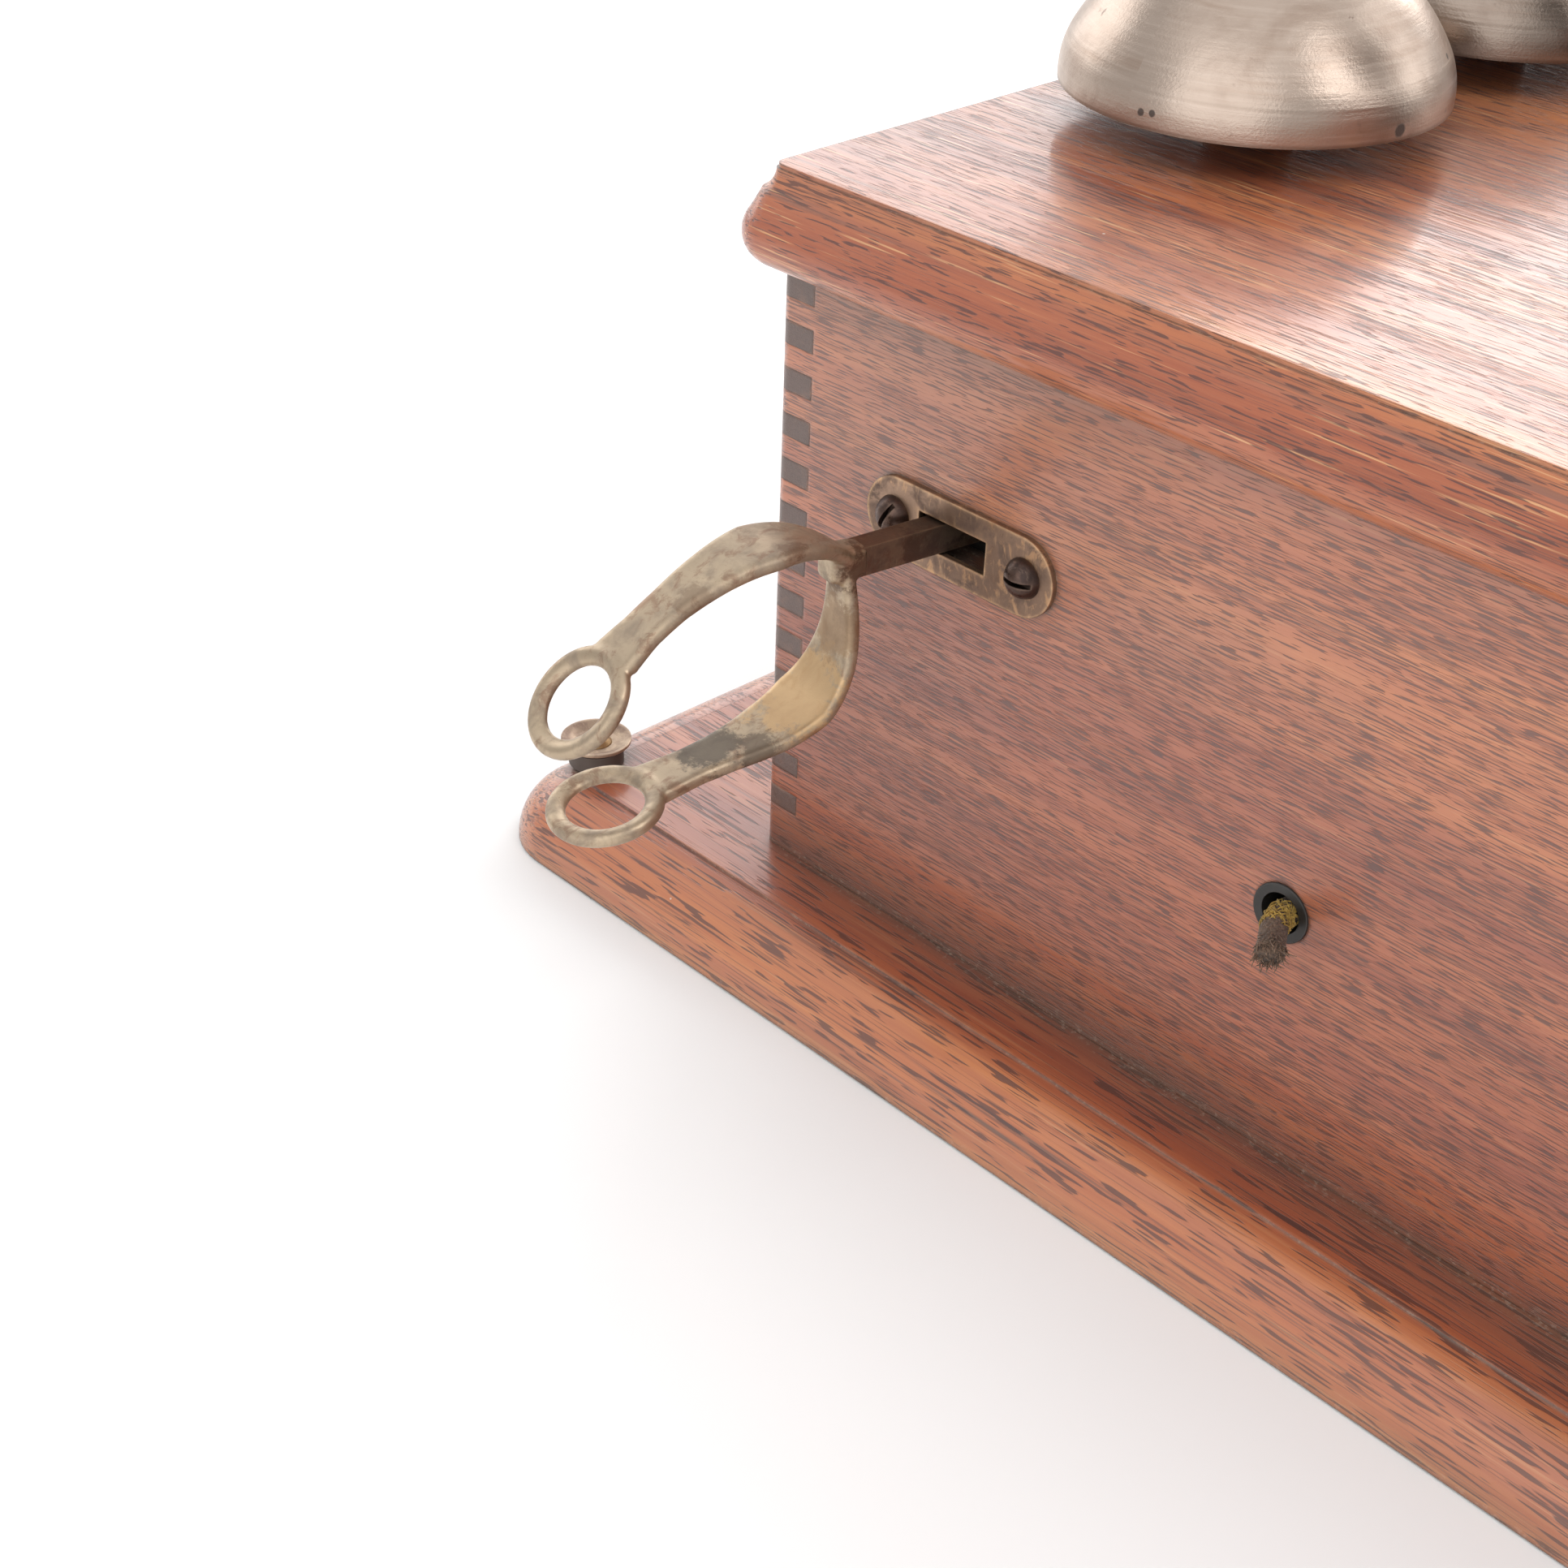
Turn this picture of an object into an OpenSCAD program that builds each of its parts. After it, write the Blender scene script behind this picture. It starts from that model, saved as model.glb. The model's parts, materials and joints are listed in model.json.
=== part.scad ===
// Wall crank telephone: wooden case on a backboard, door with two gongs, transmitter,
// receiver hook on the left, hand generator with its crank on the right.
// Frame: X to the right as one faces the telephone, Y back into the wall, Z up.
// The origin is the centre of the backboard's rear face. Millimetres.

/* [Case] */
// Width of the case over its side boards
case_w = 254; // [240:1:280]
// Height of the case over its top and bottom boards
case_h = 430; // [420:1:460]
// Depth of the case boards, from backboard to door
case_d = 130.5; // [126:0.5:136]
// Thickness of the case boards
wall = 9.5; // [9:0.1:10]
// Rounding of the case's upright corners
case_corner = 3; // [2:0.5:6]
// Spacing of the finger joints
finger_pitch = 9.525; // [9:0.005:10]

/* [Backboard] */
// Thickness of the backboard
board_t = 15; // [15:0.5:18]
// Margin of the backboard beyond the case at left and right
board_side = 29.3; // [28:0.1:34]
// Margin of the backboard above and below the case
board_end = 60.5; // [56:0.5:66]
// Radius of the rounded edge of the backboard
board_edge = 14.5; // [12:0.5:14.5]
// Radius of the two wall screw holes
wall_hole_r = 2.75; // [2:0.25:3]

/* [Door] */
// Thickness of the door
door_t = 19.5; // [19.5:0.5:22]
// Reach of the flat front beyond the case sides
door_flat = 2.1; // [1.5:0.1:2.5]
// Difference between the door's reach at the sides and its reach at top and bottom
door_short = 1.7; // [0:0.1:2]
// Radius of the bead round the door
bead_r = 6.5; // [6:0.1:6.6]
// Gap between the door and the case boards
door_gap = 0.3; // [0.2:0.05:0.4]

/* [Gongs] */
// Radius of each gong at its rim
gong_r = 37.85; // [36:0.05:38.5]
// Height of each gong from rim to crown
gong_h = 31; // [28:0.5:32]
// Distance between the gong centres
gong_pitch = 82.6; // [82:0.1:86]
// Height of the gong centres below the top of the case
gong_drop = 40.7; // [40:0.1:44]
// Gap from the door's front to the gong rims
gong_stand = 7.5; // [7:0.5:10]

/* [Receiver hook] */
// Upward tilt of the empty hook
hook_tilt = 9.2; // [8:0.1:10]
// Distance of the hook's axle in from the left face
hook_axle_in = 45; // [44:0.5:46]
// Width of the hook's shank, front to back
shank_w = 5.8; // [5:0.1:6]
// Height of the hook's shank
shank_h = 4.7; // [4.5:0.1:5]
// Thickness of the two prongs
prong_t = 3; // [2.5:0.1:3.2]
// Outer radius of the ring at the end of each prong
ring_r = 11; // [10:0.1:11.5]
// Radius of the hole in each ring
ring_hole_r = 7.25; // [6.5:0.05:7.5]

/* [Generator] */
// Tooth module of gear and pinion
gear_module = 1.2; // [1.2:0.01:1.22]
// Teeth on the gear of the crank shaft
gear_teeth = 60; // [60]
// Teeth on the pinion of the armature
pinion_teeth = 12; // [12]
// Distance from the crank shaft to the grip's axis
crank_reach = 48; // [44:0.5:48]

/* [Transmitter] */
// Radius of the transmitter shell
shell_r = 30; // [28:0.5:31]
// Length of the mouthpiece in front of its plate
mouth_l = 48; // [42:1:54]

/* [Hidden] */
$fn = 64;

board_front = -board_t;
case_front = board_front - case_d;
door_back = case_front - door_gap;
door_front = door_back - door_t;
case_left = -case_w / 2;
case_top = case_h / 2;
inner_x = case_w / 2 - wall;
inner_z = case_h / 2 - wall;
board_w = case_w + 2 * board_side;
board_h = case_h + 2 * board_end;
wall_hole_z = board_h / 2 - 25;
screw_fit = 0.05;
big = 1000;

// finger joints: fingers of the top and bottom boards seen from the sides
finger_w = finger_pitch / 2;
finger_first = 1.3;
finger_count = 13;

// receiver hook: axle, where the shank leaves the case, and the slot
hook_y = board_front - 91;
hook_exit_z = case_top - 44.7;
hook_axle_x = case_left + hook_axle_in;
hook_axle_z = hook_exit_z - hook_axle_in * tan(hook_tilt);
face_u = hook_axle_in / cos(hook_tilt);
fork_u = face_u + 22.4;
hook_boss_r = 5.5;
hook_axle_r = 2.5;
slot_z = case_top - 49;
slot_h = 17;
slot_w = 6.8;
plate_z = case_top - 50.5;
plate_t = 1.2;
plate_screw_pitch = 32.9;

cord_y = board_front - 51;
cord_z = case_top - 131;
cord_r = 2.5;
post_x = 134.4;
post_z = case_top + 47.5;
post_h = 4;

gong_x = gong_pitch / 2;
gong_z = case_top - gong_drop;
rim_y = door_front - gong_stand;
gong_t = 1.8;
gong_fillet = 17;
gong_band = 1.5;
strike_z = gong_z + 17;
ball_r = 4.2;
ringer_z = 110;
ringer_y = -128;

hinge_z = 140;
hinge_r = 3.1;
hinge_pin_r = 1.25;
hinge_leaf_t = 1.2;
hinge_x = case_w / 2 + 3.6;
hinge_y = door_back + 2.7;
hinge_half = 25;
knuckle_half = 8;

crank_y = board_front - 60;
crank_z = 38.2;
gear_distance = gear_module * (gear_teeth + pinion_teeth) / 2;
armature_z = crank_z - gear_distance;
gear_x = 106;
gear_w = 5;
shelf_top = -34;
shelf_t = 8;
core_r = 16;
grip_x = 152;

terminal_z = -101;

// transmitter: the pivot of its arm and the circle of the bracket's screws
tilt_y = door_front - 40;
tilt_z = 60;
bolt_turns = [45, 135, 225, 315];
bolt_r = 25;

latch_x = case_left + 24;
latch_z = -20;

desk_z = -140;
desk_slope = 20;

mahogany = [0.50, 0.20, 0.12];
nickel = [0.62, 0.58, 0.52];
bronze = [0.42, 0.34, 0.24];
brass = [0.70, 0.53, 0.28];
steel = [0.35, 0.34, 0.33];
black = [0.06, 0.06, 0.06];
copper_wire = [0.45, 0.16, 0.08];

// ---------- helpers ----------

// cylinder between two points on a line parallel to X, Y or Z
module rod_x(x0, x1, y, z, r) translate([x0, y, z]) rotate([0, 90, 0]) cylinder(h = x1 - x0, r = r);
module rod_y(y0, y1, x, z, r) translate([x, y1, z]) rotate([90, 0, 0]) cylinder(h = y1 - y0, r = r);
module rod_z(z0, z1, x, y, r) translate([x, y, z0]) cylinder(h = z1 - z0, r = r);
// block between two opposite corners
module block(a, b) translate(a) cube(b - a);

// domed slotted screw, its head's underside at z = 0 and its shank below
module screw(head_r, head_h, shank_r, shank_l) {
    dome_r = (head_r * head_r + head_h * head_h) / (2 * head_h);
    slot = head_r * 0.24;
    difference() {
        intersection() {
            translate([0, 0, head_h - dome_r]) sphere(r = dome_r);
            cylinder(h = head_h + 1, r = head_r + 1);
        }
        translate([-head_r - 1, -slot / 2, head_h * 0.45]) cube([2 * head_r + 2, slot, head_h]);
    }
    translate([0, 0, -shank_l]) cylinder(h = shank_l + 0.05, r = shank_r);
}

// slab with a moulded edge: the child is the edge's section, x outwards from the
// corner's centre and y up from the rear, reach is its x extent
module moulded_slab(w, h, t, reach) {
    cx = w / 2 - reach;
    cy = h / 2 - reach;
    translate([-cx, -cy, 0]) cube([2 * cx, 2 * cy, t]);
    for (sx = [0, 1], sy = [0, 1]) {
        mirror([sx, 0, 0]) mirror([0, sy, 0]) translate([cx, cy, 0]) rotate_extrude(angle = 90) children();
    }
    for (s = [0, 1]) {
        mirror([s, 0, 0]) translate([cx, cy, 0]) rotate([90, 0, 0]) linear_extrude(2 * cy) children();
        mirror([0, s, 0]) translate([-cx, cy, 0]) rotate([90, 0, 90]) linear_extrude(2 * cx) children();
    }
}

// section of the backboard's edge: a quarter round under a small step
module board_edge_section(reach) {
    flat = reach - board_edge;
    square([flat, board_t]);
    intersection() {
        translate([flat, 0]) circle(r = board_edge);
        translate([flat, 0]) square(board_edge + 1);
    }
}

// section of the door's edge: step, cove and fat bead, x from the corner's centre
module door_edge_section(lead) {
    bead_x = lead + 2.3;
    bead_y = door_t - 12.9;
    difference() {
        union() {
            translate([bead_x, bead_y]) circle(r = bead_r);
            polygon([[0, 0], [bead_x, 0], [lead + 7.2, door_t - 8.6], [lead + 2.9, door_t - 0.9],
                [lead + door_flat, door_t - 0.9], [lead + door_flat, door_t], [0, door_t]]);
        }
        translate([lead + 7.4, door_t - 0.6]) circle(r = 4.9);
        translate([-big, -big / 2]) square([big, big]);
    }
}

// the case's outer block with its four rounded upright corners
module rounded_case() {
    x = case_w / 2;
    z = case_h / 2;
    r = case_corner;
    translate([0, board_front, 0]) rotate([90, 0, 0]) linear_extrude(case_d) union() {
        square([2 * x - 2 * r, 2 * z], center = true);
        square([2 * x, 2 * z - 2 * r], center = true);
        for (sx = [-1, 1], sz = [-1, 1]) translate([sx * (x - r), sz * (z - r)]) circle(r = r);
    }
}

// blocks of the finger joint at one end of a board, spread by grow on each side
module fingers(x0, x1, z0, z1, grow) {
    for (k = [0 : finger_count - 1]) {
        y0 = case_front + finger_first + k * finger_pitch;
        block([x0, y0 - grow, z0], [x1, y0 + finger_w + grow, z1]);
    }
}

// side board standing at the right, its joints cut at both ends
module side_board() {
    difference() {
        intersection() {
            block([inner_x, case_front, -case_top], [case_w / 2, board_front, case_top]);
            rounded_case();
        }
        for (s = [0, 1]) mirror([0, 0, s])
            fingers(inner_x - 1, case_w / 2 + 1, inner_z - screw_fit, case_top + 1, 0.03);
    }
}

// top board between the side boards, with its fingers
module end_board() {
    intersection() {
        union() {
            block([-inner_x + screw_fit, case_front, inner_z], [inner_x - screw_fit, board_front, case_top]);
            for (s = [0, 1]) mirror([s, 0, 0]) fingers(inner_x - 1, case_w / 2, inner_z, case_top, 0);
        }
        rounded_case();
    }
}

// ---------- case ----------

module backboard() color(mahogany) difference() {
    reach = board_edge + 4;
    rotate([90, 0, 0]) moulded_slab(board_w, board_h, board_t, reach) board_edge_section(reach);
    for (s = [-1, 1]) {
        rod_y(-board_t - 1, 1, 0, s * wall_hole_z, wall_hole_r);
        rod_y(-board_t - 1, -5, s * post_x, post_z, 2 + screw_fit);
    }
}

module left_board() color(mahogany) difference() {
    mirror([1, 0, 0]) side_board();
    block([case_left - 1, hook_y - 6, slot_z - 13], [-inner_x + 1, hook_y + 6, slot_z + 13]);
    rod_x(case_left - 1, -inner_x + 1, cord_y, cord_z, 5.8);
    for (s = [-1, 1])
        rod_x(case_left - 1, case_left + 8.5, hook_y, plate_z + s * plate_screw_pitch / 2, 1.8 + screw_fit);
}

module right_board() color(mahogany) difference() {
    side_board();
    rod_x(inner_x - 1, case_w / 2 + 1, crank_y, crank_z, 7);
}

module top_board() color(mahogany) end_board();

module bottom_board() color(mahogany) mirror([0, 0, 1]) end_board();

// ---------- hook escutcheon, cord outlet and line posts ----------

module hook_escutcheon() color(bronze) difference() {
    half_w = 8;
    half_l = 23.5;
    translate([case_left - plate_t, hook_y, plate_z]) rotate([0, 90, 0]) linear_extrude(plate_t) union() {
        square([2 * (half_l - half_w), 2 * half_w], center = true);
        for (s = [-1, 1]) translate([s * (half_l - half_w), 0]) circle(r = half_w);
    }
    block([case_left - 5, hook_y - slot_w / 2, slot_z - slot_h / 2],
        [case_left + 1, hook_y + slot_w / 2, slot_z + slot_h / 2]);
    for (s = [-1, 1]) rod_x(case_left - 5, case_left + 1, hook_y, plate_z + s * plate_screw_pitch / 2, 1.9);
}

module escutcheon_screws() color(steel)
    for (s = [-1, 1]) {
        translate([case_left - plate_t, hook_y, plate_z + s * plate_screw_pitch / 2])
            rotate([0, -90, 0]) rotate([0, 0, s > 0 ? 65 : 0]) screw(4, 3.3, 1.8, 9);
    }

module cord_bushing() color(black) difference() {
    union() {
        rod_x(case_left - 0.4, -inner_x + 1, cord_y, cord_z, 5.75);
        rod_x(-inner_x, -inner_x + 2, cord_y, cord_z, 8);
    }
    rod_x(case_left - 2, -inner_x + 3, cord_y, cord_z, 4);
}

// cut end of the receiver cord: straight through the bushing, a bend and a drooping end
module receiver_cord_stub() color([0.40, 0.33, 0.24]) {
    droop = 33;
    bend_x = case_left - 2.6;
    z0 = cord_z - 0.6;
    rod_x(bend_x, -inner_x + 22, cord_y, z0, cord_r);
    translate([bend_x, cord_y, z0]) {
        sphere(r = cord_r + 0.2);
        rotate([0, -90 - droop, 0]) cylinder(h = 10, r = cord_r);
    }
    // knot that keeps the cord from being pulled out
    rod_x(-inner_x + 19, -inner_x + 26, cord_y, z0, 5.2);
}

module line_post_bases() color(black)
    for (s = [-1, 1]) translate([s * post_x, board_front, post_z]) rotate([90, 0, 0]) difference() {
        cylinder(h = post_h, r = 6.2);
        translate([0, 0, -1]) cylinder(h = 8, r = 2 + screw_fit);
    }

module line_post_washers() color(brass)
    for (s = [-1, 1]) translate([s * post_x, board_front - post_h, post_z]) rotate([90, 0, 0]) rotate_extrude()
        polygon([[2.1, 0], [5.4, 0], [7.9, 1.3], [7.9, 2], [7.3, 2], [5, 0.9], [2.1, 0.9]]);

// ---------- hook switch ----------

module hook_bracket() color(steel) difference() {
    cheek = hook_y + shank_w / 2 + 0.5;
    union() {
        block([-inner_x, hook_y - 16, 118], [-inner_x + 2, hook_y + 16, 190]);
        for (s = [0, 1]) translate([0, hook_y, 0]) mirror([0, s, 0]) {
            block([-inner_x, shank_w / 2 + 0.5, hook_axle_z - 9],
                [hook_axle_x + 9, shank_w / 2 + 2.5, hook_axle_z + 9]);
        }
    }
    rod_y(hook_y - 20, hook_y + 20, hook_axle_x, hook_axle_z, hook_axle_r + screw_fit);
    block([-inner_x - 1, hook_y - 3.4, hook_axle_z - 12], [-inner_x + 3, hook_y + 3.4, hook_axle_z + 14]);
}

module hook_axle() color(steel) {
    rod_y(hook_y - shank_w / 2 - 4, hook_y + shank_w / 2 + 7, hook_axle_x, hook_axle_z, hook_axle_r);
    rod_y(hook_y - shank_w / 2 - 4.5, hook_y - shank_w / 2 - 2.5, hook_axle_x, hook_axle_z, 4);
    rod_y(hook_y + shank_w / 2 + 7, hook_y + shank_w / 2 + 8.5, hook_axle_x, hook_axle_z, 4);
}

// coil of the return spring round the axle, outside the bracket's rear cheek
module hook_return_spring() color(nickel) {
    wire = 0.55;
    coil = 3.6;
    y0 = hook_y + shank_w / 2 + 3.1;
    for (k = [0 : 2]) translate([hook_axle_x, y0 + k * 1.9 * wire, hook_axle_z]) rotate([90, 0, 0])
        rotate_extrude() translate([coil, 0]) circle(r = wire, $fn = 24);
    rod_z(hook_axle_z - 14, hook_axle_z - 0.3, hook_axle_x + coil, y0 + 0.1, wire * 0.9);
    rod_x(hook_axle_x - 22, hook_axle_x - 0.3, y0 + 2, hook_axle_z + coil, wire * 0.9);
}

spring_x = -79.3;
spring_z = 108;

module contact_spring_block() color(black) {
    block([spring_x - 5, hook_y - 9, spring_z - 14], [spring_x - 0.35, hook_y + 9, spring_z]);
    block([spring_x + 0.65, hook_y - 9, spring_z - 14], [spring_x + 3.9, hook_y + 9, spring_z]);
    block([spring_x + 4.6, hook_y - 9, spring_z - 14], [spring_x + 7.8, hook_y + 9, spring_z]);
    block([-inner_x, hook_y - 9, spring_z - 14], [spring_x - 5, hook_y + 9, spring_z - 8]);
    block([spring_x - 5, hook_y - 9, spring_z - 17], [spring_x + 7.8, hook_y + 9, spring_z - 14]);
}

module fixed_contact_springs() color(nickel) {
    block([spring_x + 3.95, hook_y - 4, spring_z - 14], [spring_x + 4.55, hook_y + 4, 150]);
    rod_x(spring_x + 3.3, spring_x + 4, hook_y, 147, 1.2);
}

// spring strip with a rolled eye at its foot, on which it flexes
module moving_contact_spring() color(nickel) {
    rod_y(hook_y - 4, hook_y + 4, spring_x, spring_z + 1, 0.6);
    block([spring_x - 0.3, hook_y - 4, spring_z + 0.4], [spring_x + 0.3, hook_y + 4, 152.5]);
    rod_x(spring_x + 0.25, spring_x + 0.6, hook_y, 147, 1.2);
}

// places a child drawn with x along the shank, y to the front and z up on the hook's axle
module on_hook() translate([hook_axle_x, hook_y, hook_axle_z]) rotate([0, -hook_tilt, 180]) children();

module hook_lever() color(bronze) difference() {
    union() {
        on_hook() block([0, -shank_w / 2, -shank_h / 2], [fork_u + 2.2, shank_w / 2, shank_h / 2]);
        rod_y(hook_y - shank_w / 2, hook_y + shank_w / 2, hook_axle_x, hook_axle_z, hook_boss_r);
        block([hook_axle_x - 2, hook_y - shank_w / 2, hook_axle_z - 12],
            [hook_axle_x + 2, hook_y + shank_w / 2, hook_axle_z]);
        rod_y(hook_y - shank_w / 2, hook_y + shank_w / 2, hook_axle_x, hook_axle_z - 12, 2);
    }
    rod_y(hook_y - 20, hook_y + 20, hook_axle_x, hook_axle_z, hook_axle_r + screw_fit);
}

// plan of each prong: a cubic curve from the shank's end to the middle of its ring
front_plan = [[fork_u - 1.4, 0], [fork_u + 15.6, 18], [fork_u + 42, 0], [fork_u + 55, -12.7]];
rear_plan = [[fork_u - 0.1, -1], [fork_u - 5.4, -36], [fork_u + 19.6, -31], [fork_u + 49.9, -36]];
prong_steps = 14;
function curve(p, t) = pow(1 - t, 3) * p[0] + 3 * t * pow(1 - t, 2) * p[1]
    + 3 * t * t * (1 - t) * p[2] + t * t * t * p[3];
// height of each prong's strip along its plan
front_width = [[0, 8], [0.22, 12.5], [0.4, 15.5], [0.58, 12.5], [0.76, 10], [0.9, 10], [1, 12]];
rear_width = [[0, 8], [0.25, 12.5], [0.45, 16.5], [0.62, 14.5], [0.8, 10.5], [0.9, 10], [1, 12]];

// one prong: a strip standing on edge along its plan, ending in a ring
module prong(plan, width) {
    out = plan[3] - plan[2];
    // the strip ends inside the ring's band
    last = 1 - (ring_r - 2) / (3 * norm(out));
    difference() {
        union() {
            for (i = [0 : prong_steps - 1]) {
                t0 = last * i / prong_steps;
                t1 = last * (i + 1) / prong_steps;
                a = curve(plan, t0);
                b = curve(plan, t1);
                w0 = lookup(t0, width) / 2;
                w1 = lookup(t1, width) / 2;
                run = norm(b - a) + 0.15;
                translate([a[0], a[1], 0]) rotate([90, 0, atan2(b[1] - a[1], b[0] - a[0])])
                    linear_extrude(prong_t, center = true)
                        polygon([[-0.15, -w0], [run, -w1], [run, w1], [-0.15, w0]]);
            }
            translate([plan[3][0], plan[3][1], 0]) rotate([90, 0, atan2(out[1], out[0])])
                cylinder(h = prong_t, r = ring_r, center = true);
        }
        translate([plan[3][0], plan[3][1], 0]) rotate([90, 0, atan2(out[1], out[0])])
            cylinder(h = 4 * prong_t, r = ring_hole_r, center = true);
    }
}

module hook_fork() color(nickel) difference() {
    on_hook() union() {
        prong(front_plan, front_width);
        prong(rear_plan, rear_width);
        block([fork_u - 3, -shank_w / 2 - 0.8, -shank_h / 2 - 1],
            [fork_u + 3, shank_w / 2 + 0.8, shank_h / 2 + 1]);
    }
    on_hook() block([0, -shank_w / 2, -shank_h / 2], [fork_u + 2.2, shank_w / 2, shank_h / 2]);
}

// ---------- generator ----------

module generator_shelf() color(mahogany)
    block([-inner_x + 0.05, case_front + 15, shelf_top - shelf_t], [inner_x - 0.05, board_front, shelf_top]);

module generator_frame() color(brass) difference() {
    union() {
        block([12, crank_y - 42, shelf_top], [106, crank_y + 42, shelf_top + 3]);
        for (x = [15, 99]) block([x, crank_y - 24, shelf_top], [x + 4, crank_y + 24, crank_z + 12]);
    }
    rod_x(0, 120, crank_y, crank_z, 4.05);
    rod_x(0, 120, crank_y, armature_z, 4.05);
}

module generator_magnets() color([0.16, 0.05, 0.04])
    for (k = [0 : 2]) {
        x0 = 27 + k * 22;
        inner = 25;
        outer = 35;
        difference() {
            union() {
                rod_x(x0, x0 + 20, crank_y, crank_z, outer);
                block([x0, crank_y - outer, shelf_top + 3], [x0 + 20, crank_y + outer, crank_z]);
            }
            rod_x(x0 - 1, x0 + 21, crank_y, crank_z, inner);
            block([x0 - 1, crank_y - inner, shelf_top - 10], [x0 + 21, crank_y + inner, crank_z]);
        }
    }

module pole_pieces() color(steel) difference() {
    for (s = [-1, 1]) translate([0, crank_y, 0]) mirror([0, s < 0 ? 1 : 0, 0])
        block([28, 4, shelf_top + 3], [90, 25, armature_z + 20]);
    rod_x(20, 100, crank_y, armature_z, core_r + 0.5);
}

module crank_bushing() color(brass) difference() {
    union() {
        rod_x(inner_x - 0.5, case_w / 2 + 1, crank_y, crank_z, 6.95);
        rod_x(case_w / 2, case_w / 2 + 2, crank_y, crank_z, 13);
    }
    rod_x(inner_x - 5, case_w / 2 + 5, crank_y, crank_z, 4.05);
}

module crank_shaft() color(steel) rod_x(10, 146, crank_y, crank_z, 4);

// outline of a spur gear with straight-sided teeth
module gear_outline(teeth, tip, root, tip_part, root_part) {
    pitch = 360 / teeth;
    rp = teeth * gear_module / 2;
    polygon([for (k = [0 : teeth - 1], c = [[-root_part, rp - root], [-tip_part, rp + tip],
        [tip_part, rp + tip], [root_part, rp - root]])
        [c[1] * cos((k + c[0]) * pitch), c[1] * sin((k + c[0]) * pitch)]]);
}

module drive_gear() color(brass) difference() {
    union() {
        translate([gear_x, crank_y, crank_z]) rotate([0, 90, 0]) rotate([0, 0, 180 / gear_teeth])
            linear_extrude(gear_w) gear_outline(gear_teeth, 0.75, 1.3, 0.11, 0.22);
        rod_x(105, 106, crank_y, crank_z, 8);
        rod_x(110, 114, crank_y, crank_z, 8);
    }
    rod_x(100, 120, crank_y, crank_z, 4 + screw_fit);
    for (k = [0 : 4]) translate([0, crank_y, crank_z]) rotate([72 * k, 0, 0]) rod_x(100, 120, 0, 21, 8);
}

module pinion() color(brass) difference() {
    union() {
        translate([gear_x, crank_y, armature_z]) rotate([0, 90, 0]) linear_extrude(gear_w)
            gear_outline(pinion_teeth, 0.75, 1.3, 0.09, 0.23);
        rod_x(103.5, 106.5, crank_y, armature_z, 5.2);
    }
    rod_x(100, 120, crank_y, armature_z, 4 + screw_fit);
}

module crank_arm() color(nickel) difference() {
    x0 = 139;
    x1 = 144;
    union() {
        rod_x(x0, x1, crank_y, crank_z, 9);
        rod_x(x0, x1, crank_y, crank_z - crank_reach, 7);
        translate([x0, crank_y, crank_z - crank_reach]) rotate([90, 0, 90]) linear_extrude(x1 - x0)
            polygon([[-5, 0], [5, 0], [6.5, crank_reach], [-6.5, crank_reach]]);
        // pin of the grip
        rod_x(x1 - 1, grip_x + 41, crank_y, crank_z - crank_reach, 2.5);
        rod_x(grip_x + 41, grip_x + 43, crank_y, crank_z - crank_reach, 4.5);
    }
    rod_x(x0 - 1, x1 + 3, crank_y, crank_z, 4 + screw_fit);
}

module crank_grip() color(black)
    translate([145, crank_y, crank_z - crank_reach]) rotate([0, 90, 0]) rotate_extrude()
        polygon([[2.6, 0], [6.5, 0], [7.5, 2], [6.8, 6], [8.4, 20], [9.2, 32], [8.6, 40], [6.5, 44.5],
            [5, 44.5], [5, 47.2], [2.6, 47.2]]);

module generator_armature() color(steel) difference() {
    union() {
        rod_x(28, 90, crank_y, armature_z, core_r);
        rod_x(10, 114, crank_y, armature_z, 4);
    }
    for (s = [0, 1]) translate([0, crank_y, armature_z]) mirror([0, 0, s]) block([27, -8, 5.5], [91, 8, 20]);
}

module armature_winding() color(copper_wire)
    for (s = [0, 1]) translate([0, crank_y, armature_z]) mirror([0, 0, s])
        block([29, -7.8, 5.6], [89, 7.8, 13]);

// ---------- induction coil, condenser, terminals ----------

module induction_coil_frame() color([0.45, 0.30, 0.16]) {
    for (x = [-96, -22]) block([x, -62, -142], [x + 8, board_front, -98]);
    rod_x(-96, -14, -40, -120, 5);
}

module induction_coil_winding() color([0.10, 0.22, 0.12]) difference() {
    rod_x(-88, -22, -40, -120, 15);
    rod_x(-89, -21, -40, -120, 5 + screw_fit);
}

module condenser() color([0.50, 0.50, 0.48]) block([10, -63, -190], [90, board_front, -140]);

module terminal_strip() color(black) difference() {
    block([0, -27, -112], [100, board_front, -90]);
    for (k = [0 : 4]) rod_y(-40, -16, 10 + 20 * k, terminal_z, 2 + screw_fit);
}

// screws of the inner terminal strip and of the two line posts
module terminal_screws() color(brass) {
    for (k = [0 : 4]) translate([10 + 20 * k, -27, terminal_z]) rotate([90, 0, 0]) rotate([0, 0, 37 * k])
        screw(4.5, 2.6, 2, 9);
    for (s = [-1, 1]) translate([s * post_x, board_front - post_h - 0.9, post_z]) rotate([90, 0, 0])
        rotate([0, 0, 30]) screw(3.6, 1.7, 2, 14);
}

// ---------- door ----------

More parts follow.
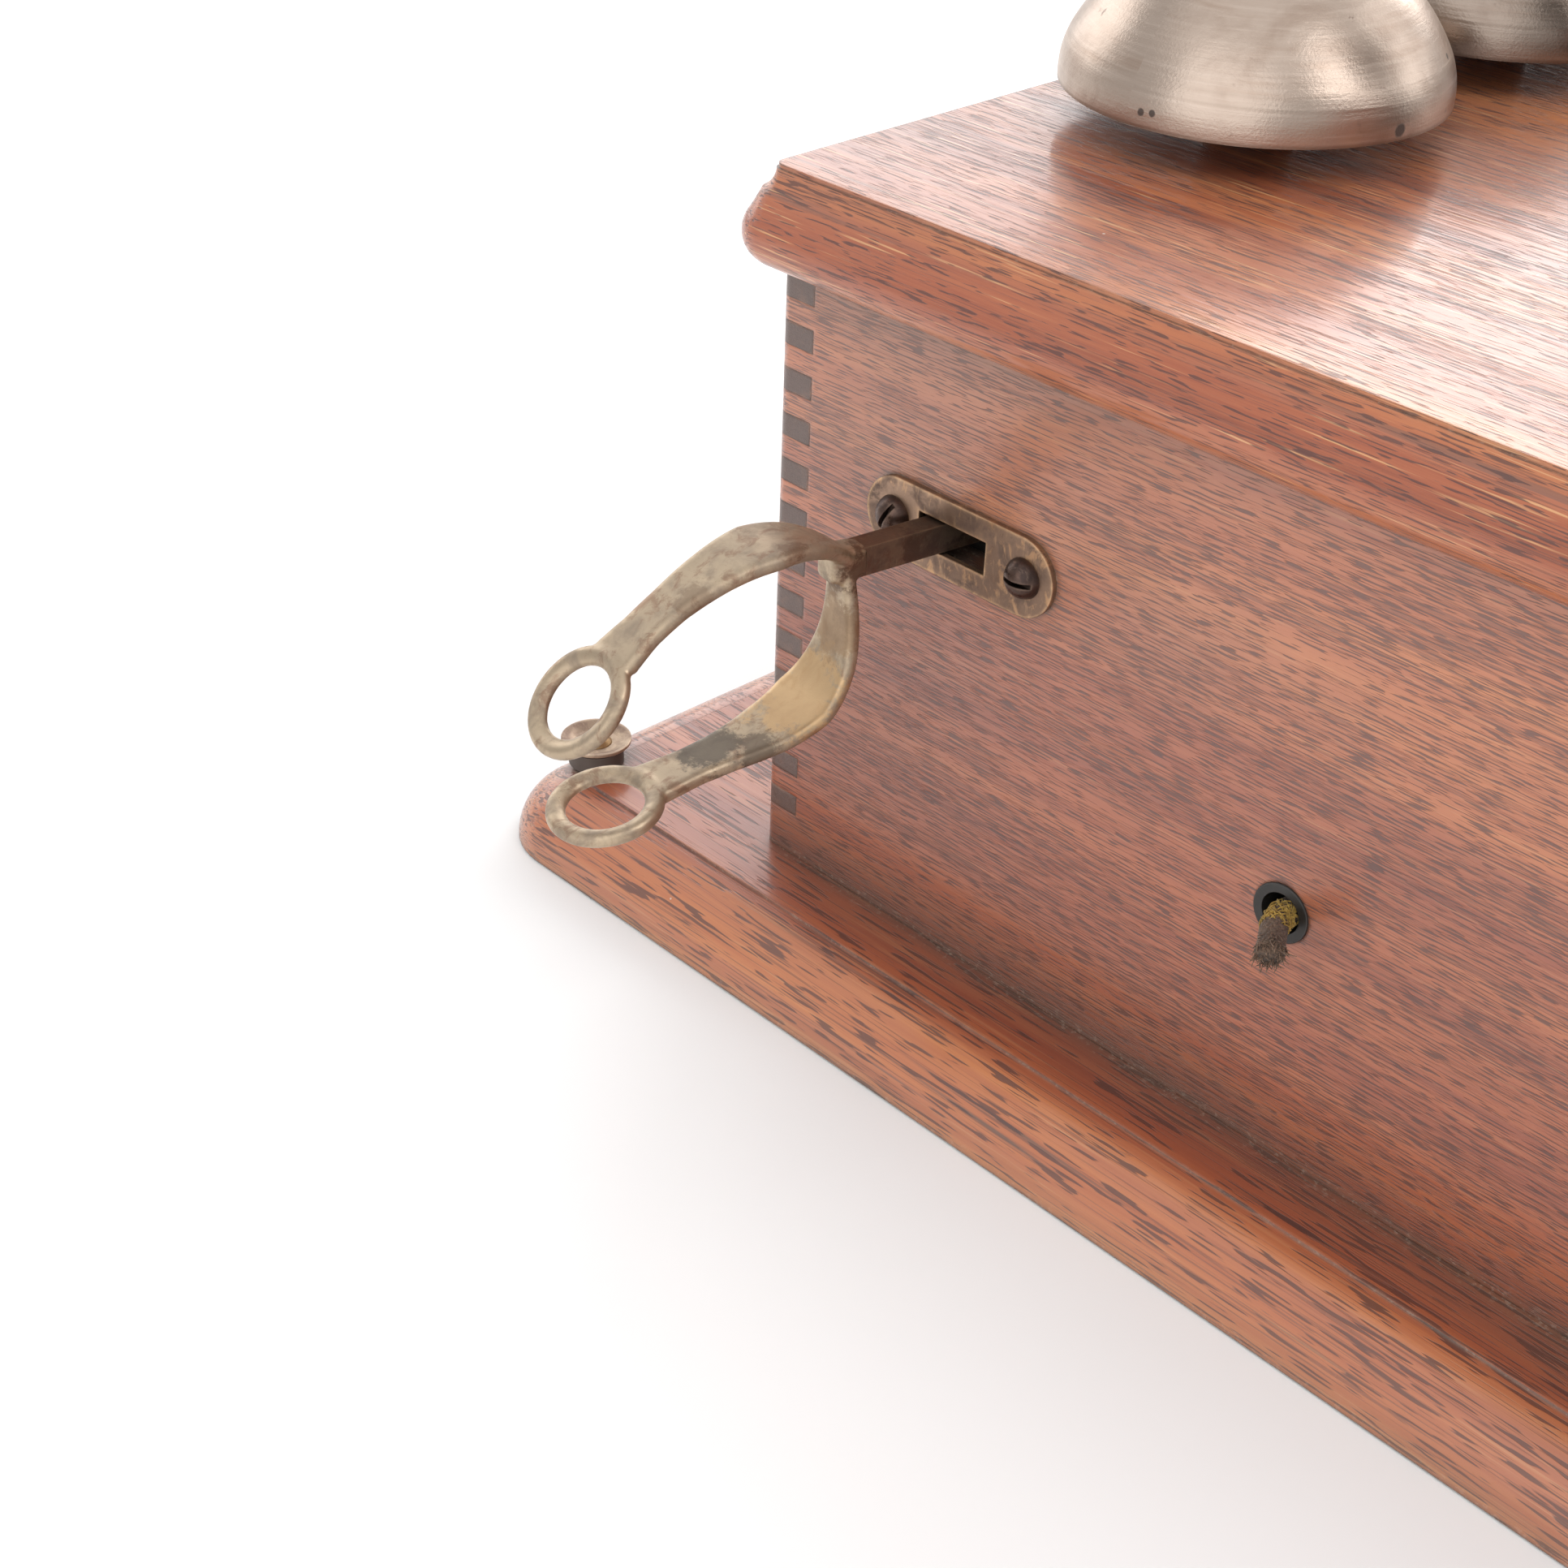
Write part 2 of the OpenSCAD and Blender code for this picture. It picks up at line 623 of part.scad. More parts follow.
module door() color(mahogany) difference() {
    lead = 0.2;
    reach = lead + 2.3 + bead_r;
    over = reach - lead;
    translate([0, door_back, 0]) rotate([90, 0, 0])
        moulded_slab(case_w + 2 * over, case_h + 2 * (over - door_short), door_t, reach)
            door_edge_section(lead);
    // hinge recesses
    for (s = [-1, 1]) block([105, door_back - hinge_leaf_t, s * hinge_z - hinge_half - 0.5],
        [case_w / 2 + 12, door_back + 1, s * hinge_z + hinge_half + 0.5]);
    // clapper slot
    block([-5.5, door_front - 1, strike_z - 3.2], [5.5, door_back + 1, strike_z + 3.2]);
    rod_y(door_front - 1, door_back + 1, latch_x, latch_z, 4.1);
    for (s = [-1, 1]) rod_y(door_front - 1, door_front + 10, s * gong_x, gong_z, 3 + screw_fit);
    for (a = bolt_turns)
        rod_y(door_front - 1, door_front + 12, bolt_r * cos(a), tilt_z + bolt_r * sin(a), 2 + screw_fit);
}

module hinge_knuckle(z0, z1) difference() {
    rod_z(z0, z1, hinge_x, hinge_y, hinge_r);
    rod_z(z0 - 1, z1 + 1, hinge_x, hinge_y, hinge_pin_r + screw_fit);
}

module case_hinge_leaves() color(brass)
    for (s = [-1, 1]) translate([0, 0, s * hinge_z]) {
        difference() {
            block([case_w / 2, hinge_y, -hinge_half], [case_w / 2 + hinge_leaf_t, hinge_y + 24, hinge_half]);
            block([case_w / 2 - 1, hinge_y - 5, -knuckle_half - 0.5],
                [case_w / 2 + 5, hinge_y + hinge_r + 0.6, knuckle_half + 0.5]);
            rod_z(-hinge_half - 1, hinge_half + 1, hinge_x, hinge_y, hinge_pin_r + screw_fit);
        }
        for (k = [-1, 1]) translate([0, 0, k * (hinge_half + knuckle_half + 0.5) / 2])
            hinge_knuckle(-(hinge_half - knuckle_half - 0.5) / 2, (hinge_half - knuckle_half - 0.5) / 2);
    }

module door_hinge_leaves() color(brass)
    for (s = [-1, 1]) translate([0, 0, s * hinge_z]) {
        difference() {
            union() {
                block([105.3, door_back - hinge_leaf_t, -hinge_half],
                    [case_w / 2 - 0.2, door_back, hinge_half]);
                block([case_w / 2 - 1, door_back - hinge_leaf_t, -knuckle_half],
                    [hinge_x, door_back, knuckle_half]);
            }
            rod_z(-hinge_half, hinge_half, hinge_x, hinge_y, hinge_pin_r + screw_fit);
        }
        hinge_knuckle(-knuckle_half, knuckle_half);
    }

module hinge_pins() color(steel)
    for (s = [-1, 1]) translate([hinge_x, hinge_y, s * hinge_z]) {
        translate([0, 0, -hinge_half]) cylinder(h = 2 * hinge_half, r = hinge_pin_r);
        for (k = [0, 1]) mirror([0, 0, k]) translate([0, 0, hinge_half]) cylinder(h = 1.5, r = 2.4);
    }

// filled outline of a gong's section, moved in by inset: a low band, a large fillet
// and a crown whose circle meets the fillet's
module gong_solid(inset) {
    fx = gong_r - gong_fillet;
    rise = gong_h - gong_band;
    crown_r = (fx * fx + rise * rise - gong_fillet * gong_fillet) / (2 * (rise - gong_fillet));
    crown_y = gong_h - crown_r;
    translate([fx, gong_band]) circle(r = gong_fillet - inset);
    intersection() {
        translate([0, crown_y]) circle(r = crown_r - inset, $fn = 96);
        polygon([[0, crown_y], [0, 100], [fx * 3, crown_y + (gong_band - crown_y) * 3]]);
    }
    square([gong_r - inset, gong_band]);
}

module gong() rotate([90, 0, 0]) rotate_extrude($fn = 96) difference() {
    intersection() {
        gong_solid(0);
        square([gong_r + 1, gong_h + 1]);
    }
    translate([0, -0.01]) intersection() {
        gong_solid(gong_t);
        square([gong_r + 1, gong_h + 1]);
    }
    translate([-big, -big / 2]) square([big + 3, big]);
}

module left_gong() color(nickel) translate([-gong_x, rim_y, gong_z]) gong();

module right_gong() color(nickel) translate([gong_x, rim_y, gong_z]) gong();

module gong_posts() color([0.10, 0.09, 0.09])
    for (s = [-1, 1]) translate([s * gong_x, door_front, gong_z]) rotate([90, 0, 0]) difference() {
        union() {
            cylinder(h = 3, r = 8);
            cylinder(h = gong_stand + gong_h - gong_t - 0.7, r = 5);
        }
        translate([0, 0, 12]) cylinder(h = 40, r = 2 + screw_fit);
    }

module gong_screws() color(nickel)
    for (s = [-1, 1]) translate([s * gong_x, rim_y - gong_h + 0.1, gong_z]) rotate([90, 0, 0])
        rotate([0, 0, 40 * s]) screw(6, 3, 2, 15);

// ---------- ringer ----------

module ringer_frame() color(steel) {
    plate = door_back + 2.5;
    block([-9, door_back, ringer_z - 14], [9, plate, ringer_z + 60]);
    block([-34, door_back, ringer_z + 46], [34, plate, ringer_z + 60]);
    for (s = [-1, 1]) {
        rod_y(plate - 0.5, ringer_y - 6.5, s * 19, ringer_z + 53, 3);
        rod_z(ringer_z + 5, ringer_z + 52, s * 19, ringer_y, 4.5);
    }
    difference() {
        block([-32, ringer_y - 7, ringer_z + 50], [32, ringer_y + 7, ringer_z + 56]);
        block([-6, ringer_y - 3.5, ringer_z + 49], [6, ringer_y + 3.5, ringer_z + 57]);
    }
    // stud on which the armature rocks
    rod_y(plate - 0.5, ringer_y + 9, 0, ringer_z, 1.5);
    rod_y(ringer_y + 7, ringer_y + 9, 0, ringer_z, 3.2);
}

module ringer_coils() color(copper_wire)
    for (s = [-1, 1]) difference() {
        union() {
            rod_z(ringer_z + 12, ringer_z + 46, s * 19, ringer_y, 11.5);
            rod_z(ringer_z + 10, ringer_z + 12, s * 19, ringer_y, 12.5);
            rod_z(ringer_z + 46, ringer_z + 48, s * 19, ringer_y, 12.5);
        }
        rod_z(ringer_z, ringer_z + 60, s * 19, ringer_y, 4.5 + screw_fit);
    }

module ringer_armature() color(steel) difference() {
    union() {
        rod_y(ringer_y - 6, ringer_y + 6, 0, ringer_z, 4);
        block([-30, ringer_y - 5, ringer_z - 1.5], [30, ringer_y + 5, ringer_z + 1.5]);
    }
    rod_y(ringer_y - 20, ringer_y + 20, 0, ringer_z, 1.55);
    rod_z(ringer_z + 1.6, ringer_z + 10, 0, ringer_y, 1.2);
}

module clapper() color(brass) {
    rod_z(ringer_z + 3.4, strike_z, 0, ringer_y, 1.2);
    translate([0, ringer_y, strike_z]) sphere(r = 1.2);
    rod_y(rim_y - 3, ringer_y, 0, strike_z, 1.2);
    translate([0, rim_y - 3, strike_z]) sphere(r = ball_r);
}

// ---------- transmitter ----------

module transmitter_bracket() color([0.10, 0.09, 0.09]) difference() {
    union() {
        rod_y(door_front - 4, door_front, 0, tilt_z, 34);
        rod_y(door_front - 9, door_front - 3, 0, tilt_z, 15);
        for (s = [0, 1]) mirror([s, 0, 0]) {
            block([4.4, tilt_y, tilt_z - 9], [8.4, door_front - 3, tilt_z + 9]);
            rod_x(4.4, 8.4, tilt_y, tilt_z, 9);
        }
    }
    rod_x(-20, 20, tilt_y, tilt_z, 3 + screw_fit);
    for (a = bolt_turns)
        rod_y(door_front - 20, door_front + 5, bolt_r * cos(a), tilt_z + bolt_r * sin(a), 2.1);
}

module bracket_screws() color(steel)
    for (a = bolt_turns) translate([bolt_r * cos(a), door_front - 4, tilt_z + bolt_r * sin(a)])
        rotate([90, 0, 0]) rotate([0, 0, a * 1.3]) screw(4, 2.2, 2, 14);

module transmitter_arm() color([0.10, 0.09, 0.09]) {
    rod_x(-4, 4, tilt_y, tilt_z, 8.5);
    block([-4, tilt_y - 28, tilt_z - 7], [4, tilt_y, tilt_z + 7]);
    rod_y(tilt_y - 30, tilt_y - 26, 0, tilt_z, 13);
    rod_x(-8.7, 8.7, tilt_y, tilt_z, 3);
    for (s = [0, 1]) mirror([s, 0, 0]) rod_x(8.7, 12, tilt_y, tilt_z, 6);
}

shell_back = tilt_y - 30;
shell_front = shell_back - 28;

module transmitter_shell() color([0.10, 0.09, 0.09]) difference() {
    union() {
        rod_y(shell_front, shell_back - 4, 0, tilt_z, shell_r);
        rod_y(shell_back - 5, shell_back, 0, tilt_z, shell_r - 5);
    }
    rod_y(shell_front - 1, shell_back - 6, 0, tilt_z, shell_r - 2.5);
}

module transmitter_plate() color(nickel) difference() {
    union() {
        rod_y(shell_front - 4, shell_front, 0, tilt_z, shell_r + 2.5);
        rod_y(shell_front - 6, shell_front - 3, 0, tilt_z, 17);
    }
    rod_y(shell_front - 20, shell_front + 5, 0, tilt_z, 11);
}

module mouthpiece() color(black) translate([0, shell_front, tilt_z]) rotate([90, 0, 0]) rotate_extrude()
    difference() {
        union() {
            square([10.95, 8]);
            square([13, 11]);
            polygon([[0, 8], [14, 8], [13, 12], [14.5, 24], [19, 38], [27, mouth_l - 3], [29, mouth_l], [0, mouth_l]]);
        }
        translate([10.95, -1]) square([10, 7]);
        polygon([[0, -1], [8, -1], [8, 14], [10.5, 26], [15, 38], [23, mouth_l - 2],
            [26.5, mouth_l + 1], [0, mouth_l + 1]]);
    }

// ---------- writing shelf ----------

module writing_shelf() color(mahogany) translate([0, door_front, desk_z]) intersection() {
    rotate([desk_slope, 0, 0]) union() {
        block([-100, -105, -9], [100, 10, 0]);
        block([-100, -108, -9], [100, -103, 5]);
    }
    block([-150, -200, -100], [150, 0, 100]);
}

module shelf_brackets() color(mahogany)
    for (s = [-1, 1]) {
        under = -9 / cos(desk_slope);
        run = 82;
        translate([s * 72 - 6, door_front, desk_z]) rotate([90, 0, 90]) linear_extrude(12)
            polygon([[0, under], [0, -82], [-8, -82], [-18, -68], [-44, -56],
                [-run, under - run * tan(desk_slope) - 8], [-run, under - run * tan(desk_slope)]]);
    }

// ---------- door latch ----------

module latch_rosette() color(brass) difference() {
    rod_y(door_front - 1.5, door_front, latch_x, latch_z, 13);
    rod_y(door_front - 3, door_front + 1, latch_x, latch_z, 4.3);
}

module latch_knob() color(brass) {
    rod_y(door_front - 1.8, case_front + 6.3, latch_x, latch_z, 4);
    rod_y(door_front - 5, door_front - 1.8, latch_x, latch_z, 6);
    difference() {
        rod_y(door_front - 15, door_front - 4.8, latch_x, latch_z, 10);
        for (k = [0 : 23]) translate([latch_x, 0, latch_z]) rotate([0, 15 * k, 0])
            block([9.5, door_front - 14, -0.4], [12, door_front - 6, 0.4]);
    }
}

module latch_tongue() color(brass) difference() {
    union() {
        block([latch_x - 4, case_front + 3.3, latch_z - 11.3], [latch_x + 4, case_front + 6.3, latch_z]);
        rod_y(case_front + 3.3, case_front + 6.3, latch_x, latch_z, 6);
    }
    rod_y(case_front, case_front + 10, latch_x, latch_z, 4);
}

module latch_keeper() color(brass) {
    block([-inner_x, case_front + 1, latch_z - 10], [-inner_x + 1.4, case_front + 24, latch_z + 10]);
    block([-inner_x, case_front + 1, latch_z - 10], [-inner_x + 7, case_front + 3, latch_z + 10]);
}

backboard();
left_board();
right_board();
top_board();
bottom_board();
hook_escutcheon();
escutcheon_screws();
cord_bushing();
receiver_cord_stub();
line_post_bases();
line_post_washers();
hook_bracket();
hook_axle();
hook_return_spring();
contact_spring_block();
fixed_contact_springs();
generator_shelf();
generator_frame();
generator_magnets();
pole_pieces();
crank_bushing();
induction_coil_frame();
induction_coil_winding();
condenser();
terminal_strip();
terminal_screws();
case_hinge_leaves();
hinge_pins();
latch_keeper();
door();
door_hinge_leaves();
left_gong();
right_gong();
gong_posts();
gong_screws();
ringer_frame();
ringer_coils();
transmitter_bracket();
bracket_screws();
writing_shelf();
shelf_brackets();
latch_rosette();
ringer_armature();
clapper();
transmitter_arm();
transmitter_shell();
transmitter_plate();
mouthpiece();
crank_shaft();
drive_gear();
crank_arm();
crank_grip();
generator_armature();
armature_winding();
pinion();
latch_knob();
latch_tongue();
hook_lever();
hook_fork();
moving_contact_spring();
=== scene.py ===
"""Wall crank telephone: materials, fine shapes, light and camera over the CAD frame."""
import json
import math
import random
import bpy
from mathutils import Vector, Matrix


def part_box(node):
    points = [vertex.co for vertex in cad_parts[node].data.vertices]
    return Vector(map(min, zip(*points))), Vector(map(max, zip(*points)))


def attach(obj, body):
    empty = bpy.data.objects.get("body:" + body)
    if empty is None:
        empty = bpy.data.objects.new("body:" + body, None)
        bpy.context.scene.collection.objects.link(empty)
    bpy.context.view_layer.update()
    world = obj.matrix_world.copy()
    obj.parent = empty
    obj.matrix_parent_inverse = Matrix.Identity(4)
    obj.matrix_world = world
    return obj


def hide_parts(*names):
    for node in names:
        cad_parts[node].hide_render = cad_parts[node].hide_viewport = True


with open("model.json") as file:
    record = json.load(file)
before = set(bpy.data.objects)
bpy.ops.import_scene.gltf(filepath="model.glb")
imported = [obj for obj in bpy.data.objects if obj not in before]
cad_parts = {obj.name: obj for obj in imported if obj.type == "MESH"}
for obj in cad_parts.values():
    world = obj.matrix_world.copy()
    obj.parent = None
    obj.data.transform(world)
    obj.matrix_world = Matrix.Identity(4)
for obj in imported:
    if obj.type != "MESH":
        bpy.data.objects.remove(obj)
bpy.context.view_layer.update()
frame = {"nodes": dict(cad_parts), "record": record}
NODES = frame["nodes"]
MM = 0.001

# ---------- places, from the frame ----------

BOARD_LO, BOARD_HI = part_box("backboard")
CASE_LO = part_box("left_board")[0]
DOOR_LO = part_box("door")[0]
GONG_LO, GONG_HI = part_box("left_gong")
BUSH_LO, BUSH_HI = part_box("cord_bushing")
STUB_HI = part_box("receiver_cord_stub")[1]
JOINTS = {joint["name"]: joint for joint in frame["record"]["behaviour"]["joints"]}


# ---------- node graph helpers ----------

def put(tree, socket, value):
    """Links an output to an input, or sets the input's value."""
    if isinstance(value, bpy.types.NodeSocket):
        tree.links.new(value, socket)
    elif value is not None:
        socket.default_value = value


def node(tree, kind, inputs=None, **settings):
    """A shader node with its settings and its inputs by name or number."""
    made = tree.nodes.new("ShaderNode" + kind)
    for key, value in settings.items():
        setattr(made, key, value)
    for key, value in (inputs or {}).items():
        put(tree, made.inputs[key], value)
    return made


def math_node(tree, operation, a, b=0.0, clamp=False):
    return node(tree, "Math", {0: a, 1: b}, operation=operation, use_clamp=clamp).outputs[0]


def plus(tree, a, b):
    return math_node(tree, "ADD", a, b)


def minus(tree, a, b):
    return math_node(tree, "SUBTRACT", a, b)


def times(tree, a, b, clamp=False):
    return math_node(tree, "MULTIPLY", a, b, clamp)


def larger(tree, a, b):
    return math_node(tree, "MAXIMUM", a, b)


def vector_math(tree, operation, a, b=(0, 0, 0)):
    made = node(tree, "VectorMath", {0: a, 1: b}, operation=operation)
    return made.outputs["Value" if operation in ("DOT_PRODUCT", "LENGTH") else "Vector"]


def noise(tree, vector, scale=1.0, detail=3.0, rough=0.55, distortion=0.0):
    return node(tree, "TexNoise", {"Vector": vector, "Scale": scale, "Detail": detail,
                                   "Roughness": rough, "Distortion": distortion}).outputs[0]


def remap(tree, value, low, high, to_low=0.0, to_high=1.0, smooth=True):
    made = node(tree, "MapRange", {0: value, 1: low, 2: high, 3: to_low, 4: to_high},
                interpolation_type="SMOOTHSTEP" if smooth else "LINEAR")
    return made.outputs[0]


def mix(tree, factor, a, b, blend="MIX"):
    made = node(tree, "Mix", data_type="RGBA", blend_type=blend)
    put(tree, made.inputs[0], factor)
    put(tree, made.inputs[6], a if isinstance(a, bpy.types.NodeSocket) else (*a, 1))
    put(tree, made.inputs[7], b if isinstance(b, bpy.types.NodeSocket) else (*b, 1))
    return made.outputs[2]


def ramp(tree, value, stops):
    made = node(tree, "ValToRGB", {0: value})
    elements = made.color_ramp.elements
    while len(elements) < len(stops):
        elements.new(0.5)
    for element, (place, colour) in zip(elements, stops):
        element.position = place
        element.color = (*colour, 1)
    return made.outputs[0]


def local_place(tree, scale=(1, 1, 1), offset=(0, 0, 0)):
    """The piece's own coordinates in metres, moved and scaled."""
    place = node(tree, "TexCoord").outputs["Object"]
    moved = vector_math(tree, "ADD", place, offset)
    return vector_math(tree, "MULTIPLY", moved, scale)


def soft_normal(tree, radius):
    """The normal, rounded over edges."""
    return node(tree, "Bevel", {"Radius": radius}, samples=4).outputs[0]


def edge_mask(tree, radius):
    """About 1 on outer and inner edges, 0 on open faces."""
    flat = node(tree, "NewGeometry").outputs["Normal"]
    bent = vector_math(tree, "DOT_PRODUCT", soft_normal(tree, radius), flat)
    return math_node(tree, "SUBTRACT", 1.0, bent, True)


def open_sky(tree, reach):
    """1 in the open, less where something is near."""
    return node(tree, "AmbientOcclusion", {"Distance": reach}, samples=4).outputs["AO"]


def crevice(tree, reach):
    """About 1 deep in joints and corners, 0 in the open."""
    return remap(tree, open_sky(tree, reach), 0.70, 0.30)


def new_material(name):
    made = bpy.data.materials.new(name)
    made.use_nodes = True
    tree = made.node_tree
    tree.nodes.clear()
    shader = node(tree, "BsdfPrincipled")
    out = node(tree, "OutputMaterial")
    tree.links.new(shader.outputs[0], out.inputs[0])
    return made, tree, shader


def bump(tree, height, distance, strength=1.0, normal=None):
    return node(tree, "Bump", {"Height": height, "Distance": distance, "Strength": strength,
                               "Normal": normal}).outputs[0]


# ---------- materials ----------

AXES = {"x": 0, "y": 1, "z": 2}
PORE_COLOUR = (0.070, 0.036, 0.035)
BAND_COLOUR = (0.135, 0.082, 0.062)
WOOD_DARK = (0.195, 0.047, 0.023)
WOOD_MID = (0.335, 0.087, 0.040)
WOOD_WARM = (0.470, 0.150, 0.062)
WOOD_ORANGE = (0.620, 0.235, 0.085)
WOOD_GOLD = (0.720, 0.400, 0.185)
WOOD_WORN = (0.560, 0.270, 0.150)
CLOUD_COLOUR = (0.210, 0.105, 0.080)
END_GRAIN = (0.125, 0.068, 0.050)
END_GRAIN_DARK = (0.080, 0.046, 0.036)
END_GRAIN_WARM = (0.180, 0.090, 0.060)
# dark colours laid in hollows and in joints, for dirt and painted shade
HOLLOW_DIRT_SHADE = (0.125, 0.078, 0.058)
JOINT_DIRT_SHADE = (0.115, 0.078, 0.056)
DUST = (0.420, 0.350, 0.280)
SPECK_COLOUR = (0.62, 0.57, 0.50)


def stretched(tree, grain, across, along, offset):
    """Coordinates whose pattern is drawn out along the grain."""
    scale = [across] * 3
    scale[AXES[grain]] = along
    return local_place(tree, tuple(scale), offset)



# patterns drawn out along the grain: waves in a metre across it and along it, detail, roughness, distortion
GRAIN_PATTERNS = {"figure": (16, 1.2, 4, 0.6, 1.2), "stripe": (95, 1.7, 4, 0.62, 0.4),
                  "ribbon": (400, 7, 3, 0.6, 0), "fine": (3600, 70, 3, 0.65, 0),
                  "crowd": (130, 10, 3, 0.5, 0)}
# the same for those that are larger in a coarse wood
PORE_PATTERNS = {"hairs": (1500, 36, 2, 0.5, 0), "dashes": (2700, 170, 1, 0.35, 0),
                 "slits": (4800, 50, 1, 0.4, 0)}
# patterns that don't follow the grain: waves in a metre, detail, roughness
EVEN_PATTERNS = {"stipple": (1400, 2, 0.6), "patch": (260, 3, 0.6), "ragged": (190, 4, 0.65),
                 "crumbs": (900, 2, 0.6), "smudge": (22, 4, 0.6)}


def wood_patterns(tree, grain, offset, coarse):
    """The wood's noises, by name."""
    made = {}
    for table, spread in ((GRAIN_PATTERNS, 1), (PORE_PATTERNS, coarse)):
        for name, (across, along, detail, rough, distortion) in table.items():
            place = stretched(tree, grain, across / spread, along / spread, offset)
            made[name] = noise(tree, place, 1.0, detail, rough, distortion)
    for name, (waves, detail, rough) in EVEN_PATTERNS.items():
        made[name] = noise(tree, local_place(tree, (waves, waves, waves), offset), 1.0, detail, rough)
    made["cloud"] = noise(tree, local_place(tree, (11, 11, 7), offset), 1.0, 3, 0.5)
    return made


def wood_figure(tree, patterns, tone, bands, vivid, gold, dark):
    """The wood's colour, with its stripes, dark ribbons, golden hairs and dull clouds."""
    blend = plus(tree, times(tree, patterns["figure"], 1 - bands), times(tree, patterns["stripe"], bands))
    blend = plus(tree, blend, remap(tree, patterns["ribbon"], 0.2, 0.8, tone - 0.06, tone + 0.06, False))
    blend = plus(tree, 0.5, times(tree, minus(tree, blend, 0.5), vivid))
    colour = ramp(tree, blend, [(0.30, WOOD_DARK), (0.46, WOOD_MID), (0.62, WOOD_WARM), (0.84, WOOD_ORANGE)])
    colour = mix(tree, remap(tree, patterns["fine"], 0.35, 0.7, 0, 0.35), colour, WOOD_WARM)
    colour = mix(tree, remap(tree, patterns["ribbon"], 0.42, 0.30, 0, dark), colour, BAND_COLOUR)
    colour = mix(tree, remap(tree, patterns["hairs"], 0.60, 0.72, 0, gold), colour, WOOD_GOLD)
    return mix(tree, remap(tree, patterns["cloud"], 0.46, 0.68, 0, 0.30), colour, CLOUD_COLOUR)


def wood_pores(tree, patterns, pores):
    """About 1 in the open pores: short dashes and longer, fainter slits."""
    level = plus(tree, patterns["dashes"], times(tree, patterns["crowd"], 0.2))
    dash = remap(tree, level, 0.706 - 0.10 * pores, 0.760 - 0.10 * pores)
    level = plus(tree, patterns["slits"], times(tree, patterns["crowd"], 0.35))
    slit = remap(tree, level, 0.77 - 0.09 * pores, 0.86 - 0.09 * pores, 0, 0.55)
    return larger(tree, dash, slit)


def wood_shade(tree, colour, lit_depth, shaded_depth):
    """Painted shade: the colour made darker and redder from one depth to another."""
    depth = node(tree, "SeparateXYZ", {0: local_place(tree)}).outputs[1]
    # painted shade: a darker, redder copy of the colour, laid on towards the second depth
    shaded_colour = mix(tree, 1.0, colour, (0.74, 0.57, 0.51), "MULTIPLY")
    return mix(tree, remap(tree, depth, lit_depth, shaded_depth), colour, shaded_colour)


def wood_end(tree, patterns, colour, grain):
    """The colour with end grain where the face is square to the grain, and the mask of that."""
    normal = node(tree, "TexCoord").outputs["Normal"]
    axis = node(tree, "SeparateXYZ", {0: normal}).outputs[AXES[grain]]
    end = remap(tree, math_node(tree, "ABSOLUTE", axis), 0.75, 0.9)
    end_colour = mix(tree, patterns["stipple"], END_GRAIN, END_GRAIN_DARK)
    end_colour = mix(tree, remap(tree, patterns["patch"], 0.5, 0.75, 0, 0.6), end_colour, END_GRAIN_WARM)
    return mix(tree, end, colour, end_colour), end


def wood_wear_and_shade(tree, patterns, colour):
    """Worn, lighter arrises, and a ragged dark layer of dirt and painted shade in hollows."""
    worn = times(tree, edge_mask(tree, 0.0010), 3.2, True)
    worn = times(tree, worn, remap(tree, patterns["ragged"], 0.45, 0.65, 0, 0.7))
    colour = mix(tree, worn, colour, WOOD_WORN)
    # dirt and painted shade: darker where the hollows close in
    dirt_shade_layer = times(tree, remap(tree, open_sky(tree, 0.014), 0.93, 0.62),
                 remap(tree, patterns["cloud"], 0.35, 0.6, 0.35, 1))
    dirt_shade_layer = times(tree, dirt_shade_layer, remap(tree, patterns["ribbon"], 0.3, 0.62, 0.35, 0.75))
    return mix(tree, dirt_shade_layer, colour, HOLLOW_DIRT_SHADE)


def wood_dirt_and_shade(tree, patterns, colour, deep, offset):
    """Dirt and painted shade darkening the joints, dust in them, and scattered pale specks of dust."""
    # dirt and painted shade: darker deep in the joints
    dirt_shade_mask = times(tree, deep, remap(tree, patterns["ragged"], 0.30, 0.55, 0.45, 0.95))
    colour = mix(tree, dirt_shade_mask, colour, JOINT_DIRT_SHADE)
    dusty = times(tree, deep, remap(tree, patterns["crumbs"], 0.56, 0.66, 0, 0.7))
    colour = mix(tree, dusty, colour, DUST)
    cells = node(tree, "TexVoronoi", {"Vector": local_place(tree, (210, 210, 210), offset), "Scale": 1.0})
    chance = node(tree, "SeparateColor", {0: cells.outputs["Color"]}).outputs[0]
    speck = times(tree, remap(tree, cells.outputs["Distance"], 0.045, 0.07, 1, 0),
                  math_node(tree, "LESS_THAN", chance, 0.07))
    return mix(tree, times(tree, speck, 0.75), colour, SPECK_COLOUR)


def wood_finish(tree, shader, patterns, pore, dull, gloss, sheen):
    """Shellac that is rougher where the wood is dull, and the wood's relief."""
    shader.inputs["Roughness"].default_value = 0.46
    shader.inputs["Specular IOR Level"].default_value = sheen
    put(tree, shader.inputs["Coat Weight"], remap(tree, dull, 0, 1, 0.95, 0.25))
    rough = plus(tree, remap(tree, patterns["smudge"], 0.3, 0.7, gloss - 0.03, gloss + 0.09),
                 times(tree, dull, 0.22))
    put(tree, shader.inputs["Coat Roughness"], rough)
    height = minus(tree, times(tree, patterns["ribbon"], 0.5), times(tree, pore, 0.55))
    height = plus(tree, height, times(tree, patterns["hairs"], 0.22))
    height = plus(tree, height, times(tree, patterns["smudge"], 0.8))
    relief = bump(tree, height, 0.00011, 0.8, soft_normal(tree, 0.0010))
    put(tree, shader.inputs["Normal"], relief)
    put(tree, shader.inputs["Coat Normal"], relief)


